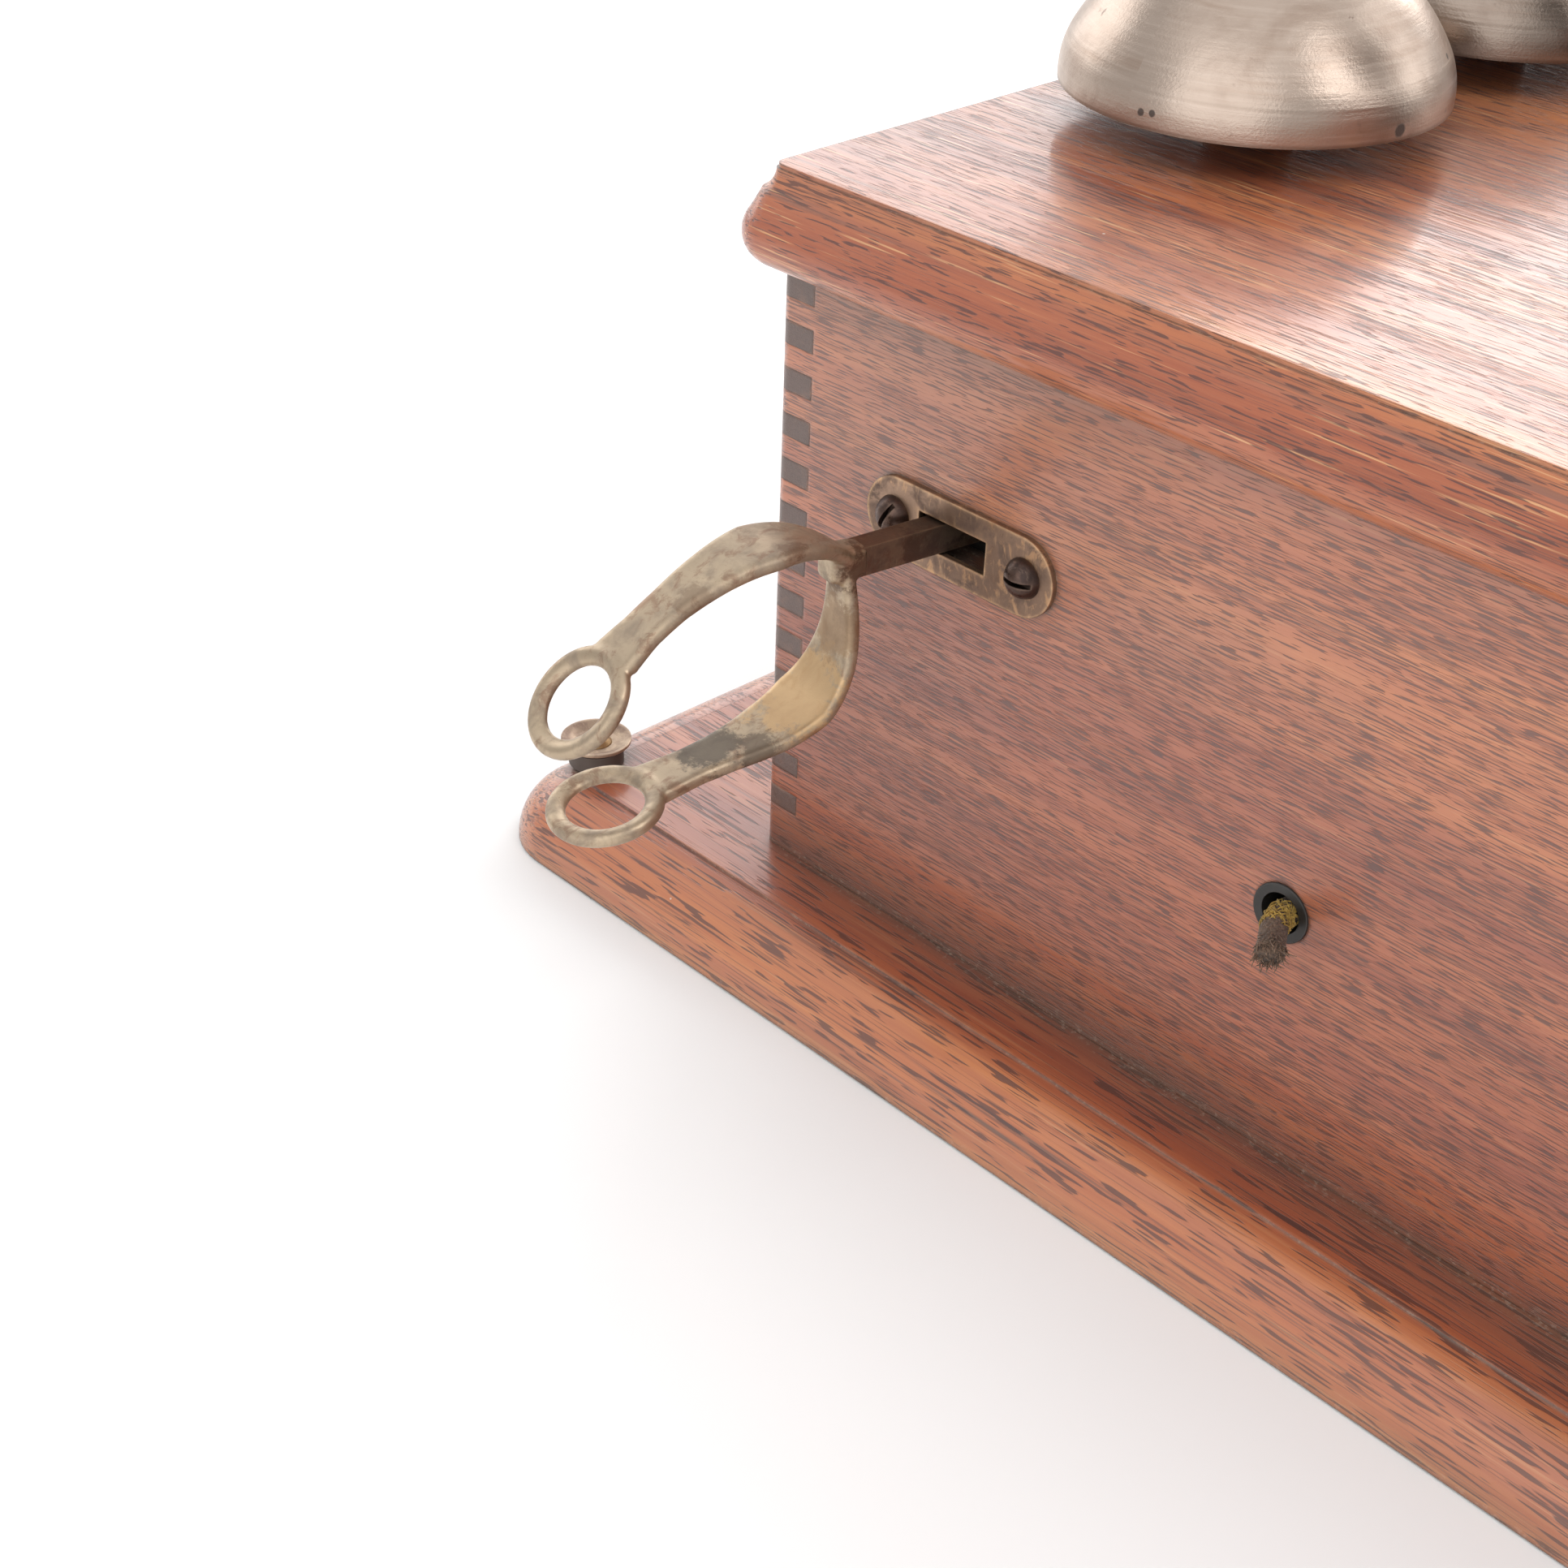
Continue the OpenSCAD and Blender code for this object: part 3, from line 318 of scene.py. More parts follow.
def wood(name, grain="z", offset=(0, 0, 0), tone=0.0, pores=0.5, gold=0.4, bands=0.45, coarse=1.0,
         gloss=0.13, dark=0.15, shade=None, vivid=1.2, sheen=0.80):
    """Stained, shellacked wood with open pores along the grain, dirt and painted shade in its joints, worn
    arrises and any painted shade by depth.
    """
    made, tree, shader = new_material(name)
    patterns = wood_patterns(tree, grain, offset, coarse)
    colour = wood_figure(tree, patterns, tone, bands, vivid, gold, dark)
    pore = wood_pores(tree, patterns, pores)
    colour = mix(tree, times(tree, pore, 0.76), colour, PORE_COLOUR)
    # painted shade by depth, where a shade is given
    if shade:
        colour = wood_shade(tree, colour, *shade)
    colour, end = wood_end(tree, patterns, colour, grain)
    colour = wood_wear_and_shade(tree, patterns, colour)
    deep = crevice(tree, 0.008)
    put(tree, shader.inputs["Base Color"], wood_dirt_and_shade(tree, patterns, colour, deep, offset))
    dull = larger(tree, larger(tree, times(tree, pore, 0.5), deep), times(tree, end, 0.7))
    wood_finish(tree, shader, patterns, pore, dull, gloss, sheen)
    return made


def metal_flaws(tree, colour, place, offset, speck, tarnish, blush):
    """Small dark specks, ragged dark patches of old plating and thin smears of brown dirt."""
    if speck:
        cells = node(tree, "TexVoronoi", {"Vector": place, "Scale": 240.0})
        dots = remap(tree, cells.outputs["Distance"], 0.10, 0.22, 1, 0)
        dots = times(tree, dots, remap(tree, noise(tree, place, 70, 2, 0.5), 0.58, 0.66))
        colour = mix(tree, times(tree, dots, speck), colour, (0.03, 0.022, 0.018))
    if tarnish:
        patch = noise(tree, place, 75, 6, 0.72, 0.3)
        colour = mix(tree, remap(tree, patch, 0.57, 0.64, 0, 0.75), colour, tarnish)
    if blush:
        smear = noise(tree, local_place(tree, (210, 210, 330), offset), 1.0, 5, 0.7, 0.6)
        colour = mix(tree, remap(tree, smear, 0.52, 0.66, 0, 0.7), colour, blush)
    return colour


def metal_marks(tree, colour, place, marks):
    """Tinted patches with ragged edges round some centres."""
    ragged = minus(tree, noise(tree, place, 260, 6, 0.75), 0.5)
    for centre, reach, tint, weight in marks:
        away = vector_math(tree, "LENGTH", vector_math(tree, "SUBTRACT", local_place(tree), tuple(centre)))
        away = plus(tree, away, times(tree, ragged, reach * 2.4))
        colour = mix(tree, remap(tree, away, reach * 0.65, reach * 1.05, weight, 0), colour, tint)
    return colour


def metal(name, base, stain, bright, rough=0.36, stain_size=90, speck=0.0, edge=0.6, metallic=1.0,
          tarnish=None, offset=(0, 0, 0), blush=None, rim=0.0007, marks=()):
    """Worn metal: stains, flaws, fine scratches, brighter edges and dirt in its corners."""
    made, tree, shader = new_material(name)
    place = local_place(tree, (1, 1, 1), offset)
    blotch = noise(tree, place, stain_size, 5, 0.62, 0.4)
    broad = noise(tree, place, stain_size * 0.22, 3, 0.5)
    scratch = noise(tree, local_place(tree, (2400, 180, 700), offset), 1.0, 3, 0.7)
    colour = mix(tree, remap(tree, blotch, 0.42, 0.68), base, stain)
    colour = mix(tree, remap(tree, broad, 0.4, 0.65, 0, 0.5), colour, stain)
    colour = mix(tree, remap(tree, scratch, 0.55, 0.75, 0, 0.3), colour, bright)
    colour = metal_flaws(tree, colour, place, offset, speck, tarnish, blush)
    colour = metal_marks(tree, colour, place, marks)
    worn = times(tree, edge_mask(tree, rim), 2.6, True)
    worn = times(tree, worn, remap(tree, noise(tree, place, 420, 3, 0.6), 0.35, 0.6, 0.35, 1))
    colour = mix(tree, times(tree, worn, edge), colour, bright)
    colour = mix(tree, times(tree, crevice(tree, 0.003), 0.6), colour, tuple(c * 0.35 for c in stain))
    put(tree, shader.inputs["Base Color"], colour)
    put(tree, shader.inputs["Metallic"], remap(tree, blotch, 0.35, 0.75, metallic, metallic * 0.7))
    put(tree, shader.inputs["Roughness"], remap(tree, blotch, 0.3, 0.75, rough - 0.07, rough + 0.14))
    height = plus(tree, times(tree, noise(tree, place, 2600, 2, 0.6), 0.5), times(tree, blotch, 0.6))
    put(tree, shader.inputs["Normal"], bump(tree, height, 0.00006, 0.6, soft_normal(tree, 0.0004)))
    return made


# dark spots on the gongs: x, y and z from the rim's centre and size, in mm
GONG_SPOTS = [(-37.7, -2.9, -3.0, 0.75), (-37.4, -3.3, -5.3, 0.70), (-5.4, -1.9, -37.5, 1.35),
              (14.8, -10.5, -32.1, 0.60), (21.0, -6.0, 31.0, 1.1), (-20.5, -18.0, 19.0, 0.8)]
# turned ridges: distance from the rim and half width in metres, strength
GONG_RIDGES = ((0.0068, 0.00055, 1), (0.0088, 0.0005, 0.6))


def turned(tree, turn, depth, around, across, row, detail, rough):
    """Noise drawn out round the gong's axis."""
    place = node(tree, "CombineXYZ", {0: times(tree, turn, around), 1: times(tree, depth, across), 2: row})
    return noise(tree, place.outputs[0], 1.0, detail, rough)


def gong_ridges(tree, place, depth):
    """About 1 on the turned ridges, where they aren't worn away."""
    first, second = (remap(tree, math_node(tree, "ABSOLUTE", plus(tree, depth, back)), 0.0, half, weight, 0)
                     for back, half, weight in GONG_RIDGES)
    return times(tree, plus(tree, first, second), remap(tree, noise(tree, place, 32, 2, 0.5), 0.40, 0.58))


def gong_spots(tree, place, small):
    """About 1 on the dark spots."""
    spots = None
    warp = times(tree, minus(tree, small, 0.5), 0.0009)
    for x, y, z, size in GONG_SPOTS:
        away = vector_math(tree, "LENGTH", vector_math(tree, "SUBTRACT", place, (x * MM, y * MM, z * MM)))
        spot = remap(tree, plus(tree, away, warp), size * 0.75 * MM, size * 1.15 * MM, 1, 0)
        spots = spot if spots is None else larger(tree, spots, spot)
    return spots


def gong_colour(tree, place, rings, bands, blotch):
    """Nickel with polishing rings and clouds of pale green and brown tarnish."""
    colour = mix(tree, remap(tree, blotch, 0.42, 0.70), (0.490, 0.405, 0.348), (0.385, 0.302, 0.252))
    colour = mix(tree, remap(tree, bands, 0.52, 0.75, 0, 0.55), colour, (0.370, 0.272, 0.215))
    colour = mix(tree, remap(tree, rings, 0.45, 0.7, 0, 0.30), colour, (0.640, 0.550, 0.485))
    cloud = noise(tree, place, 26, 4, 0.6)
    return mix(tree, remap(tree, cloud, 0.60, 0.75, 0, 0.35), colour, (0.420, 0.400, 0.280))


def gong_dirt_and_shade(tree, colour, depth, tone):
    """A brown line of dirt along the rim, dark oxide on the hidden inner side, and painted shade over the
    whole gong by its tone.
    """
    edge = remap(tree, depth, -0.0010, -0.0002)
    colour = mix(tree, times(tree, edge, 0.55), colour, (0.160, 0.105, 0.075))
    hidden = remap(tree, open_sky(tree, 0.03), 0.34, 0.16)
    # painted shade: the whole gong darkened by its tone
    colour = mix(tree, 1.0, colour, (tone, tone * 0.97, tone * 0.94), "MULTIPLY")
    return mix(tree, times(tree, hidden, 0.85), colour, (0.060, 0.046, 0.040))


def gong_metal(name, centre_x, centre_z, tone):
    """Worn nickel: polishing rings, two faint turned ridges, tarnish clouds, pitting and a few dark spots."""
    made, tree, shader = new_material(name)
    place = local_place(tree, (1, 1, 1), (-centre_x, -GONG_HI.y, -centre_z))
    x, depth, z = node(tree, "SeparateXYZ", {0: place}).outputs
    turn = math_node(tree, "ARCTAN2", z, x)
    rings = turned(tree, turn, depth, 1.6, 1100.0, 0.0, 4, 0.65)
    bands = turned(tree, turn, depth, 1.1, 260.0, 3.0, 3, 0.6)
    blotch = noise(tree, place, 48, 5, 0.62, 0.5)
    small = noise(tree, place, 300, 5, 0.7)
    pits = remap(tree, noise(tree, place, 75, 3, 0.5), 0.52, 0.66)
    pits = times(tree, remap(tree, small, 0.60, 0.70), pits)
    ridge = gong_ridges(tree, place, depth)
    spots = gong_spots(tree, place, small)
    colour = gong_colour(tree, place, rings, bands, blotch)
    colour = mix(tree, times(tree, pits, 0.75), colour, (0.130, 0.075, 0.055))
    colour = mix(tree, times(tree, ridge, 0.22), colour, (0.250, 0.195, 0.155))
    colour = mix(tree, times(tree, spots, 0.88), colour, (0.045, 0.034, 0.032))
    put(tree, shader.inputs["Base Color"], gong_dirt_and_shade(tree, colour, depth, tone))
    put(tree, shader.inputs["Metallic"], remap(tree, larger(tree, spots, pits), 0, 1, 1.0, 0.4))
    rough = plus(tree, blotch, times(tree, rings, 0.4))
    put(tree, shader.inputs["Roughness"], remap(tree, rough, 0.45, 0.95, 0.27, 0.41))
    shader.inputs["Anisotropic"].default_value = 0.35
    height = plus(tree, times(tree, rings, 0.7), times(tree, small, 0.6))
    height = plus(tree, height, times(tree, ridge, 0.4))
    height = plus(tree, height, times(tree, noise(tree, place, 1900, 2, 0.6), 0.45))
    put(tree, shader.inputs["Normal"], bump(tree, height, 0.00010, 0.8))
    return made


def enamel(name, base, rough):
    """Dark japanned iron, hard rubber or painted metal, with dust and rubbed edges."""
    made, tree, shader = new_material(name)
    place = local_place(tree)
    dust = noise(tree, place, 60, 4, 0.6)
    grit = noise(tree, place, 700, 3, 0.6)
    lighter = tuple(min(1, c * 1.8 + 0.03) for c in base)
    colour = mix(tree, remap(tree, dust, 0.45, 0.75, 0, 0.45), base, lighter)
    worn = times(tree, edge_mask(tree, 0.0006), 2.2, True)
    rubbed = tuple(min(1, c * 2.5 + 0.06) for c in base)
    colour = mix(tree, times(tree, worn, 0.5), colour, rubbed)
    put(tree, shader.inputs["Base Color"], colour)
    put(tree, shader.inputs["Roughness"], remap(tree, dust, 0.3, 0.7, rough - 0.04, rough + 0.16))
    put(tree, shader.inputs["Normal"], bump(tree, grit, 0.00005, 0.7, soft_normal(tree, 0.0004)))
    return made


def winding(name, base, axis, pitch):
    """Wire or cloth tape wound round an axis, with painted shade in the grooves between turns."""
    made, tree, shader = new_material(name)
    place = local_place(tree)
    along = node(tree, "SeparateXYZ", {0: place}).outputs[AXES[axis]]
    turns = math_node(tree, "SINE", times(tree, along, 2 * math.pi / pitch))
    dirt = noise(tree, place, 120, 4, 0.6)
    fuzz = noise(tree, place, 3000, 2, 0.6)
    # painted shade: darker in the grooves between turns
    colour = mix(tree, remap(tree, turns, -1, 1, 0.6, 0), base, tuple(c * 0.35 for c in base))
    colour = mix(tree, remap(tree, dirt, 0.4, 0.7, 0, 0.5), colour, tuple(c * 0.5 + 0.02 for c in base))
    put(tree, shader.inputs["Base Color"], colour)
    put(tree, shader.inputs["Roughness"], remap(tree, dirt, 0.3, 0.7, 0.45, 0.7))
    height = plus(tree, turns, times(tree, fuzz, 0.4))
    put(tree, shader.inputs["Normal"], bump(tree, height, 0.0002, 0.8))
    return made


def cotton(name, base, dark):
    """Braided cotton thread."""
    made, tree, shader = new_material(name)
    place = local_place(tree)
    fibre = noise(tree, place, 2600, 3, 0.7)
    dirt = noise(tree, place, 300, 3, 0.6)
    colour = mix(tree, remap(tree, fibre, 0.3, 0.7), dark, base)
    colour = mix(tree, remap(tree, dirt, 0.45, 0.7, 0, 0.6), colour, dark)
    put(tree, shader.inputs["Base Color"], colour)
    shader.inputs["Roughness"].default_value = 0.9
    shader.inputs["Sheen Weight"].default_value = 0.15
    put(tree, shader.inputs["Normal"], bump(tree, fibre, 0.0002, 0.8))
    return made


def studio_white(name):
    """Pale backdrop that only shows from its front."""
    made, tree, shader = new_material(name)
    place = local_place(tree)
    mottle = noise(tree, place, 3, 3, 0.5)
    put(tree, shader.inputs["Base Color"], mix(tree, mottle, (0.90, 0.90, 0.90), (0.93, 0.93, 0.93)))
    shader.inputs["Roughness"].default_value = 0.7
    clear = node(tree, "BsdfTransparent")
    side = node(tree, "NewGeometry").outputs["Backfacing"]
    both = node(tree, "MixShader", {0: side, 1: shader.outputs[0], 2: clear.outputs[0]})
    out = next(n for n in tree.nodes if n.type == "OUTPUT_MATERIAL")
    tree.links.new(both.outputs[0], out.inputs[0])
    return made


# ---------- applying materials ----------

# every CAD node's look but those of the gongs and the fork: maker, material, nodes, settings
LOOKS = [
    # the backboard's shade: painted shade on its flat face
    (wood, "mahogany_backboard", ["backboard"],
     dict(offset=(0.31, 0.12, 0.05), tone=0.10, pores=0.26, gold=0.3, bands=0.55, coarse=1.8, gloss=0.16,
          dark=0.85, shade=(-0.0125, -0.0150), vivid=2.1, sheen=0.6)),
    # the side boards' shade: painted shade, darker towards the wall
    (wood, "mahogany_left", ["left_board"],
     dict(offset=(2.6, 0.4, 1.9), tone=0.05, pores=0.55, gold=0.2, shade=(-0.135, -0.025))),
    (wood, "mahogany_right", ["right_board"],
     dict(offset=(4.7, 1.4, 0.2), tone=0.05, pores=0.55, gold=0.2, shade=(-0.135, -0.025))),
    (wood, "mahogany_ends", ["top_board", "bottom_board"], dict(grain="x", offset=(0.7, 2.4, 3.1))),
    (wood, "mahogany_door", ["door"],
     dict(offset=(2.2, 5.1, 1.3), tone=0.04, pores=0.22, gold=0.75, bands=0.5, coarse=1.1, gloss=0.12,
          dark=0.5, vivid=1.7, sheen=0.35)),
    (wood, "mahogany_shelves", ["generator_shelf", "writing_shelf", "shelf_brackets"],
     dict(grain="x", offset=(5.2, 0.1, 2.3))),
    (wood, "coil_wood", ["induction_coil_frame"],
     dict(offset=(7.2, 1.1, 2.3), tone=0.08, pores=0.2, gold=0.5)),
    (metal, "bronze_shank", ["hook_lever"],
     dict(base=(0.220, 0.155, 0.105), stain=(0.085, 0.048, 0.036), bright=(0.42, 0.30, 0.20), stain_size=130,
          speck=0.3, edge=0.7, metallic=0.85, tarnish=(0.075, 0.042, 0.033), offset=(0.4, 0.1, 0.7),
          blush=(0.130, 0.065, 0.045))),
    (metal, "bronze_plate", ["hook_escutcheon"],
     dict(base=(0.330, 0.215, 0.150), stain=(0.150, 0.095, 0.070), bright=(0.860, 0.540, 0.300), rough=0.40,
          stain_size=170, speck=0.5, edge=1.0, metallic=0.9, tarnish=(0.085, 0.055, 0.045),
          offset=(0.9, 0.3, 0.2), blush=(0.560, 0.330, 0.180), rim=0.0013)),
    (metal, "screw_steel", ["escutcheon_screws", "bracket_screws"],
     dict(base=(0.130, 0.082, 0.064), stain=(0.055, 0.035, 0.030), bright=(0.34, 0.23, 0.17), rough=0.30,
          stain_size=300)),
    (metal, "dark_steel",
     ["hook_bracket", "hook_axle", "hook_return_spring", "hinge_pins", "pole_pieces", "ringer_frame",
      "ringer_armature", "crank_shaft", "generator_armature"],
     dict(base=(0.17, 0.165, 0.16), stain=(0.07, 0.06, 0.05), bright=(0.42, 0.40, 0.38), rough=0.38,
          stain_size=120)),
    (metal, "old_brass", ["line_post_washers"],
     dict(base=(0.420, 0.310, 0.220), stain=(0.260, 0.175, 0.130), bright=(0.70, 0.52, 0.38), rough=0.46,
          stain_size=260, speck=0.6, edge=0.9, metallic=0.7)),
    (metal, "aged_brass",
     ["terminal_screws", "generator_frame", "crank_bushing", "case_hinge_leaves", "door_hinge_leaves",
      "drive_gear", "pinion", "latch_knob", "latch_tongue", "latch_keeper", "latch_rosette", "clapper"],
     dict(base=(0.46, 0.30, 0.14), stain=(0.22, 0.13, 0.06), bright=(0.66, 0.47, 0.25), stain_size=110,
          speck=0.4)),
    (metal, "worn_nickel",
     ["fixed_contact_springs", "moving_contact_spring", "gong_screws", "transmitter_plate", "crank_arm"],
     dict(base=(0.52, 0.48, 0.43), stain=(0.30, 0.25, 0.21), bright=(0.72, 0.68, 0.62), rough=0.34,
          stain_size=80, speck=0.5)),
    (metal, "tinplate", ["condenser"],
     dict(base=(0.34, 0.33, 0.31), stain=(0.20, 0.18, 0.16), bright=(0.5, 0.48, 0.45), rough=0.45,
          stain_size=60, speck=0.5)),
    (enamel, "japanned_iron", ["gong_posts", "transmitter_bracket", "transmitter_arm", "transmitter_shell"],
     dict(base=(0.018, 0.017, 0.017), rough=0.30)),
    (enamel, "dusty_rubber", ["line_post_bases"], dict(base=(0.075, 0.055, 0.045), rough=0.55)),
    (enamel, "hard_rubber",
     ["cord_bushing", "contact_spring_block", "terminal_strip", "mouthpiece", "crank_grip"],
     dict(base=(0.020, 0.018, 0.016), rough=0.36)),
    (enamel, "magnet_paint", ["generator_magnets"], dict(base=(0.13, 0.022, 0.016), rough=0.34)),
    (winding, "ringer_wire", ["ringer_coils"], dict(base=(0.30, 0.08, 0.045), axis="z", pitch=0.0006)),
    (winding, "armature_wire", ["armature_winding"],
     dict(base=(0.33, 0.10, 0.05), axis="z", pitch=0.0008)),
    (winding, "coil_cloth", ["induction_coil_winding"],
     dict(base=(0.05, 0.13, 0.06), axis="x", pitch=0.0016)),
]
SMOOTH_BELOW = math.radians(30)


def paint(names, material):
    """Gives CAD nodes a material and smooth shading except at sharp edges."""
    for name in names:
        piece = NODES[name]
        for slot in piece.material_slots:
            slot.material = material
        for polygon in piece.data.polygons:
            polygon.use_smooth = True
        piece.data.set_sharp_from_angle(angle=SMOOTH_BELOW)


def paint_gongs():
    """Each gong's nickel turns about its own middle; the right one is darker by its tone, as painted shade.
    """
    for name, tone in (("left_gong", 1.0), ("right_gong", 0.62)):
        lo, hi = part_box(name)
        paint([name], gong_metal("nickel_" + name, (lo.x + hi.x) / 2, (GONG_LO.z + GONG_HI.z) / 2, tone))


def paint_all():
    """Every look in the list, and the gongs'."""
    for maker, name, pieces, settings in LOOKS:
        paint(pieces, maker(name, **settings))
    paint_gongs()


# ---------- mesh helpers ----------

def piece_from(name, points, faces, body, material):
    """A new piece from points and faces, riding on a body."""
    mesh = bpy.data.meshes.new(name)
    mesh.from_pydata([tuple(p) for p in points], [], faces)
    mesh.materials.append(material)
    for polygon in mesh.polygons:
        polygon.use_smooth = True
    piece = bpy.data.objects.new(name, mesh)
    bpy.context.scene.collection.objects.link(piece)
    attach(piece, body)
    return piece


def loft(points, faces, rings, closed=False):
    """Adds a skin over rings of points, with end caps unless the rings close on themselves."""
    start = len(points)
    count = len(rings[0])
    for ring in rings:
        points.extend(ring)
    last = len(rings) if closed else len(rings) - 1
    for i in range(last):
        a = start + i * count
        b = start + (i + 1) % len(rings) * count
        for k in range(count):
            m = (k + 1) % count
            faces.append((a + k, a + m, b + m, b + k))
    if not closed:
        faces.append(tuple(start + k for k in reversed(range(count))))
        faces.append(tuple(start + last * count + k for k in range(count)))


def rounded_section(half_a, half_b, radius, steps=5):
    """Points round a rectangle with round corners."""
    points = []
    for turn, (sa, sb) in enumerate(((1, 1), (-1, 1), (-1, -1), (1, -1))):
        for k in range(steps + 1):
            angle = math.pi / 2 * (turn + k / steps)
            points.append((sa * (half_a - radius) + radius * math.cos(angle),
                           sb * (half_b - radius) + radius * math.sin(angle)))
    return points


def lookup(table, t):
    """Linear value at t in a table of places and values."""
    for (t0, v0), (t1, v1) in zip(table, table[1:]):
        if t <= t1:
            return v0 + (v1 - v0) * (t - t0) / (t1 - t0)
    return table[-1][1]


def bezier(p, t):
    """The place at t on a cubic curve from p[0] to p[3]."""
    u = 1 - t
    return p[0] * u ** 3 + p[1] * 3 * t * u * u + p[2] * 3 * t * t * u + p[3] * t ** 3


def fused(piece, voxel, rounds):
    """Melts overlapping closed shapes into one skin and rounds its corners."""
    melt = piece.modifiers.new("melt", "REMESH")
    melt.mode = "VOXEL"
    melt.voxel_size = voxel
    melt.use_smooth_shade = True
    ease = piece.modifiers.new("ease", "SMOOTH")
    ease.factor = 0.5
    ease.iterations = rounds
    bpy.context.view_layer.update()
    seen = piece.evaluated_get(bpy.context.evaluated_depsgraph_get())
    mesh = bpy.data.meshes.new_from_object(seen)
    piece.modifiers.clear()
    piece.data = mesh
    for polygon in mesh.polygons:
        polygon.use_smooth = True


# ---------- receiver hook's fork ----------

# sizes in mm; FORK_ROOT is the fork's distance from the axle, and plans are given from it, along the shank
# and to the front; a prong's widths are given by the share of its length
HOOK_TILT = math.radians(9.2)
FORK_ROOT = 67.99
PRONG_THICK = 3.0
PRONG_CORNER = 1.25
RING_OUT = 11.0
RING_SECTION = [(7.2, -0.5), (7.2, 0.5), (8.3, 1.25), (9.3, 1.5), (10.3, 1.4), (10.85, 0.8),
                (11.0, 0.0), (10.85, -0.8), (10.3, -1.4), (9.3, -1.5), (8.3, -1.25)]
FRONT_PLAN = [(-1.4, 0), (15.6, 18), (42, 0), (55, -12.7)]
REAR_PLAN = [(-0.1, -1), (-5.4, -36), (19.6, -31), (49.9, -36)]
FRONT_WIDTH = [(0, 6.4), (0.10, 9.2), (0.22, 12.5), (0.4, 15.3), (0.58, 12.3), (0.76, 9.8), (0.88, 9.6),
               (1, 11.5)]
REAR_WIDTH = [(0, 6.4), (0.10, 8.8), (0.25, 12.5), (0.45, 16.3), (0.62, 14.3), (0.78, 10.8), (0.88, 10),
              (1, 11.5)]
PRONG_STEPS = 48
RING_STEPS = 72
# the block: half width, half height and corner; its size along the shank
ROOT_SECTION = (3.5, 3.1, 1.6)
ROOT_SWELL = [(-4.4, 0.84), (-2.2, 0.98), (1.6, 1), (3.4, 0.82)]

# where its metal has gone dark or golden: x, y, z and reach in mm, tint, weight
FORK_MARKS = [(6.5, -27, 1, 11, (0.610, 0.400, 0.205), 0.75), (27, -33, 1, 7, (0.115, 0.095, 0.075), 0.85),
              (20, -32, -4, 4.5, (0.150, 0.115, 0.085), 0.8), (-3, -2, -1, 5.8, (0.130, 0.080, 0.052), 0.85),
              (-0.5, -13, 0, 7, (0.300, 0.195, 0.115), 0.75), (4, -9, -3, 5, (0.250, 0.170, 0.110), 0.6),
              (14, 12, -6, 5, (0.200, 0.125, 0.080), 0.7), (34, 3, -4, 4, (0.220, 0.150, 0.100), 0.6)]


def hook_point(x, y, z):
    """A point given in mm along the shank, to the front and upwards from the hook's axle."""
    c, s = math.cos(HOOK_TILT), math.sin(HOOK_TILT)
    return Vector(JOINTS["hook_swing"]["pos_m"]) + Vector((-(x * c - z * s), -y, x * s + z * c)) * MM


def add_prong(points, faces, plan, widths):
    """One strip standing on edge and the ring at its end."""
    plan = [Vector((FORK_ROOT + x, y)) for x, y in plan]
    end = plan[3]
    out = (plan[3] - plan[2]).normalized()
    last = 1 - (RING_OUT - 2) / (3 * (plan[3] - plan[2]).length)
    rings = []
    for i in range(PRONG_STEPS + 1):
        t = last * i / PRONG_STEPS
        here = bezier(plan, t)
        way = (bezier(plan, t + 0.01) - bezier(plan, t - 0.01)).normalized()
        side = Vector((-way.y, way.x))
        half = lookup(widths, t / last) / 2
        section = rounded_section(PRONG_THICK / 2, half, PRONG_CORNER)
        rings.append([hook_point(*(here + side * a), b) for a, b in section])
    loft(points, faces, rings)
    side = Vector((-out.y, out.x))
    rings = []
    for i in range(RING_STEPS):
        angle = 2 * math.pi * i / RING_STEPS
        rings.append([hook_point(*(end + out * (r * math.cos(angle)) + side * h), r * math.sin(angle))
                      for r, h in RING_SECTION])
    loft(points, faces, rings, closed=True)


def fork_bronze():
    """The fork's metal, with its marks placed on the fork."""
    marks = [(hook_point(FORK_ROOT + x, y, z), reach * MM, tint, weight)
             for x, y, z, reach, tint, weight in FORK_MARKS]
    return metal("bronze_fork", base=(0.510, 0.400, 0.280), stain=(0.300, 0.235, 0.172),
                 bright=(0.300, 0.180, 0.120), rough=0.43, stain_size=170, speck=0.3, edge=0.85,
                 metallic=0.85, offset=(0.13, 0.31, 0.52), blush=(0.260, 0.155, 0.100), rim=0.0011,
                 marks=marks)


def make_fork():
    """Two prongs with rings, melted together on a block at the end of the shank."""
    points, faces = [], []
    add_prong(points, faces, FRONT_PLAN, FRONT_WIDTH)
    add_prong(points, faces, REAR_PLAN, REAR_WIDTH)
    section = rounded_section(*ROOT_SECTION)
    block = [[hook_point(FORK_ROOT + x, a * k, b * k) for a, b in section] for x, k in ROOT_SWELL]
    loft(points, faces, block)
    fork = piece_from("fork", points, faces, "hook", fork_bronze())
    fused(fork, 0.00036, 12)
    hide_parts("hook_fork")


# ---------- cut receiver cord ----------

# sizes in metres
ACROSS = Vector((0, 1, 0))
CORD_RADIUS = 0.0025
CORD_DROOP = math.radians(33)
CORD_BEND = 0.012
CORD_END = 0.0065
CORD_CORNERS = 80
BRAID_RELIEF = 0.00032
BRAID_FUZZ = 0.00003
BRAID_STRANDS = 10
BRAID_STEP = 0.0021
WORN_AT = CASE_LO.x - 0.0015
WORN_REACH = 0.0016
FRAY_THREADS = 210
INNER_THREADS = 190
THREAD_CORNERS = (0, 1.257, 2.513, 3.770, 5.027)
KNOT_SIZE = 0.00098
KNOT_STEPS = 90
KNOT_STRAND = 0.0019


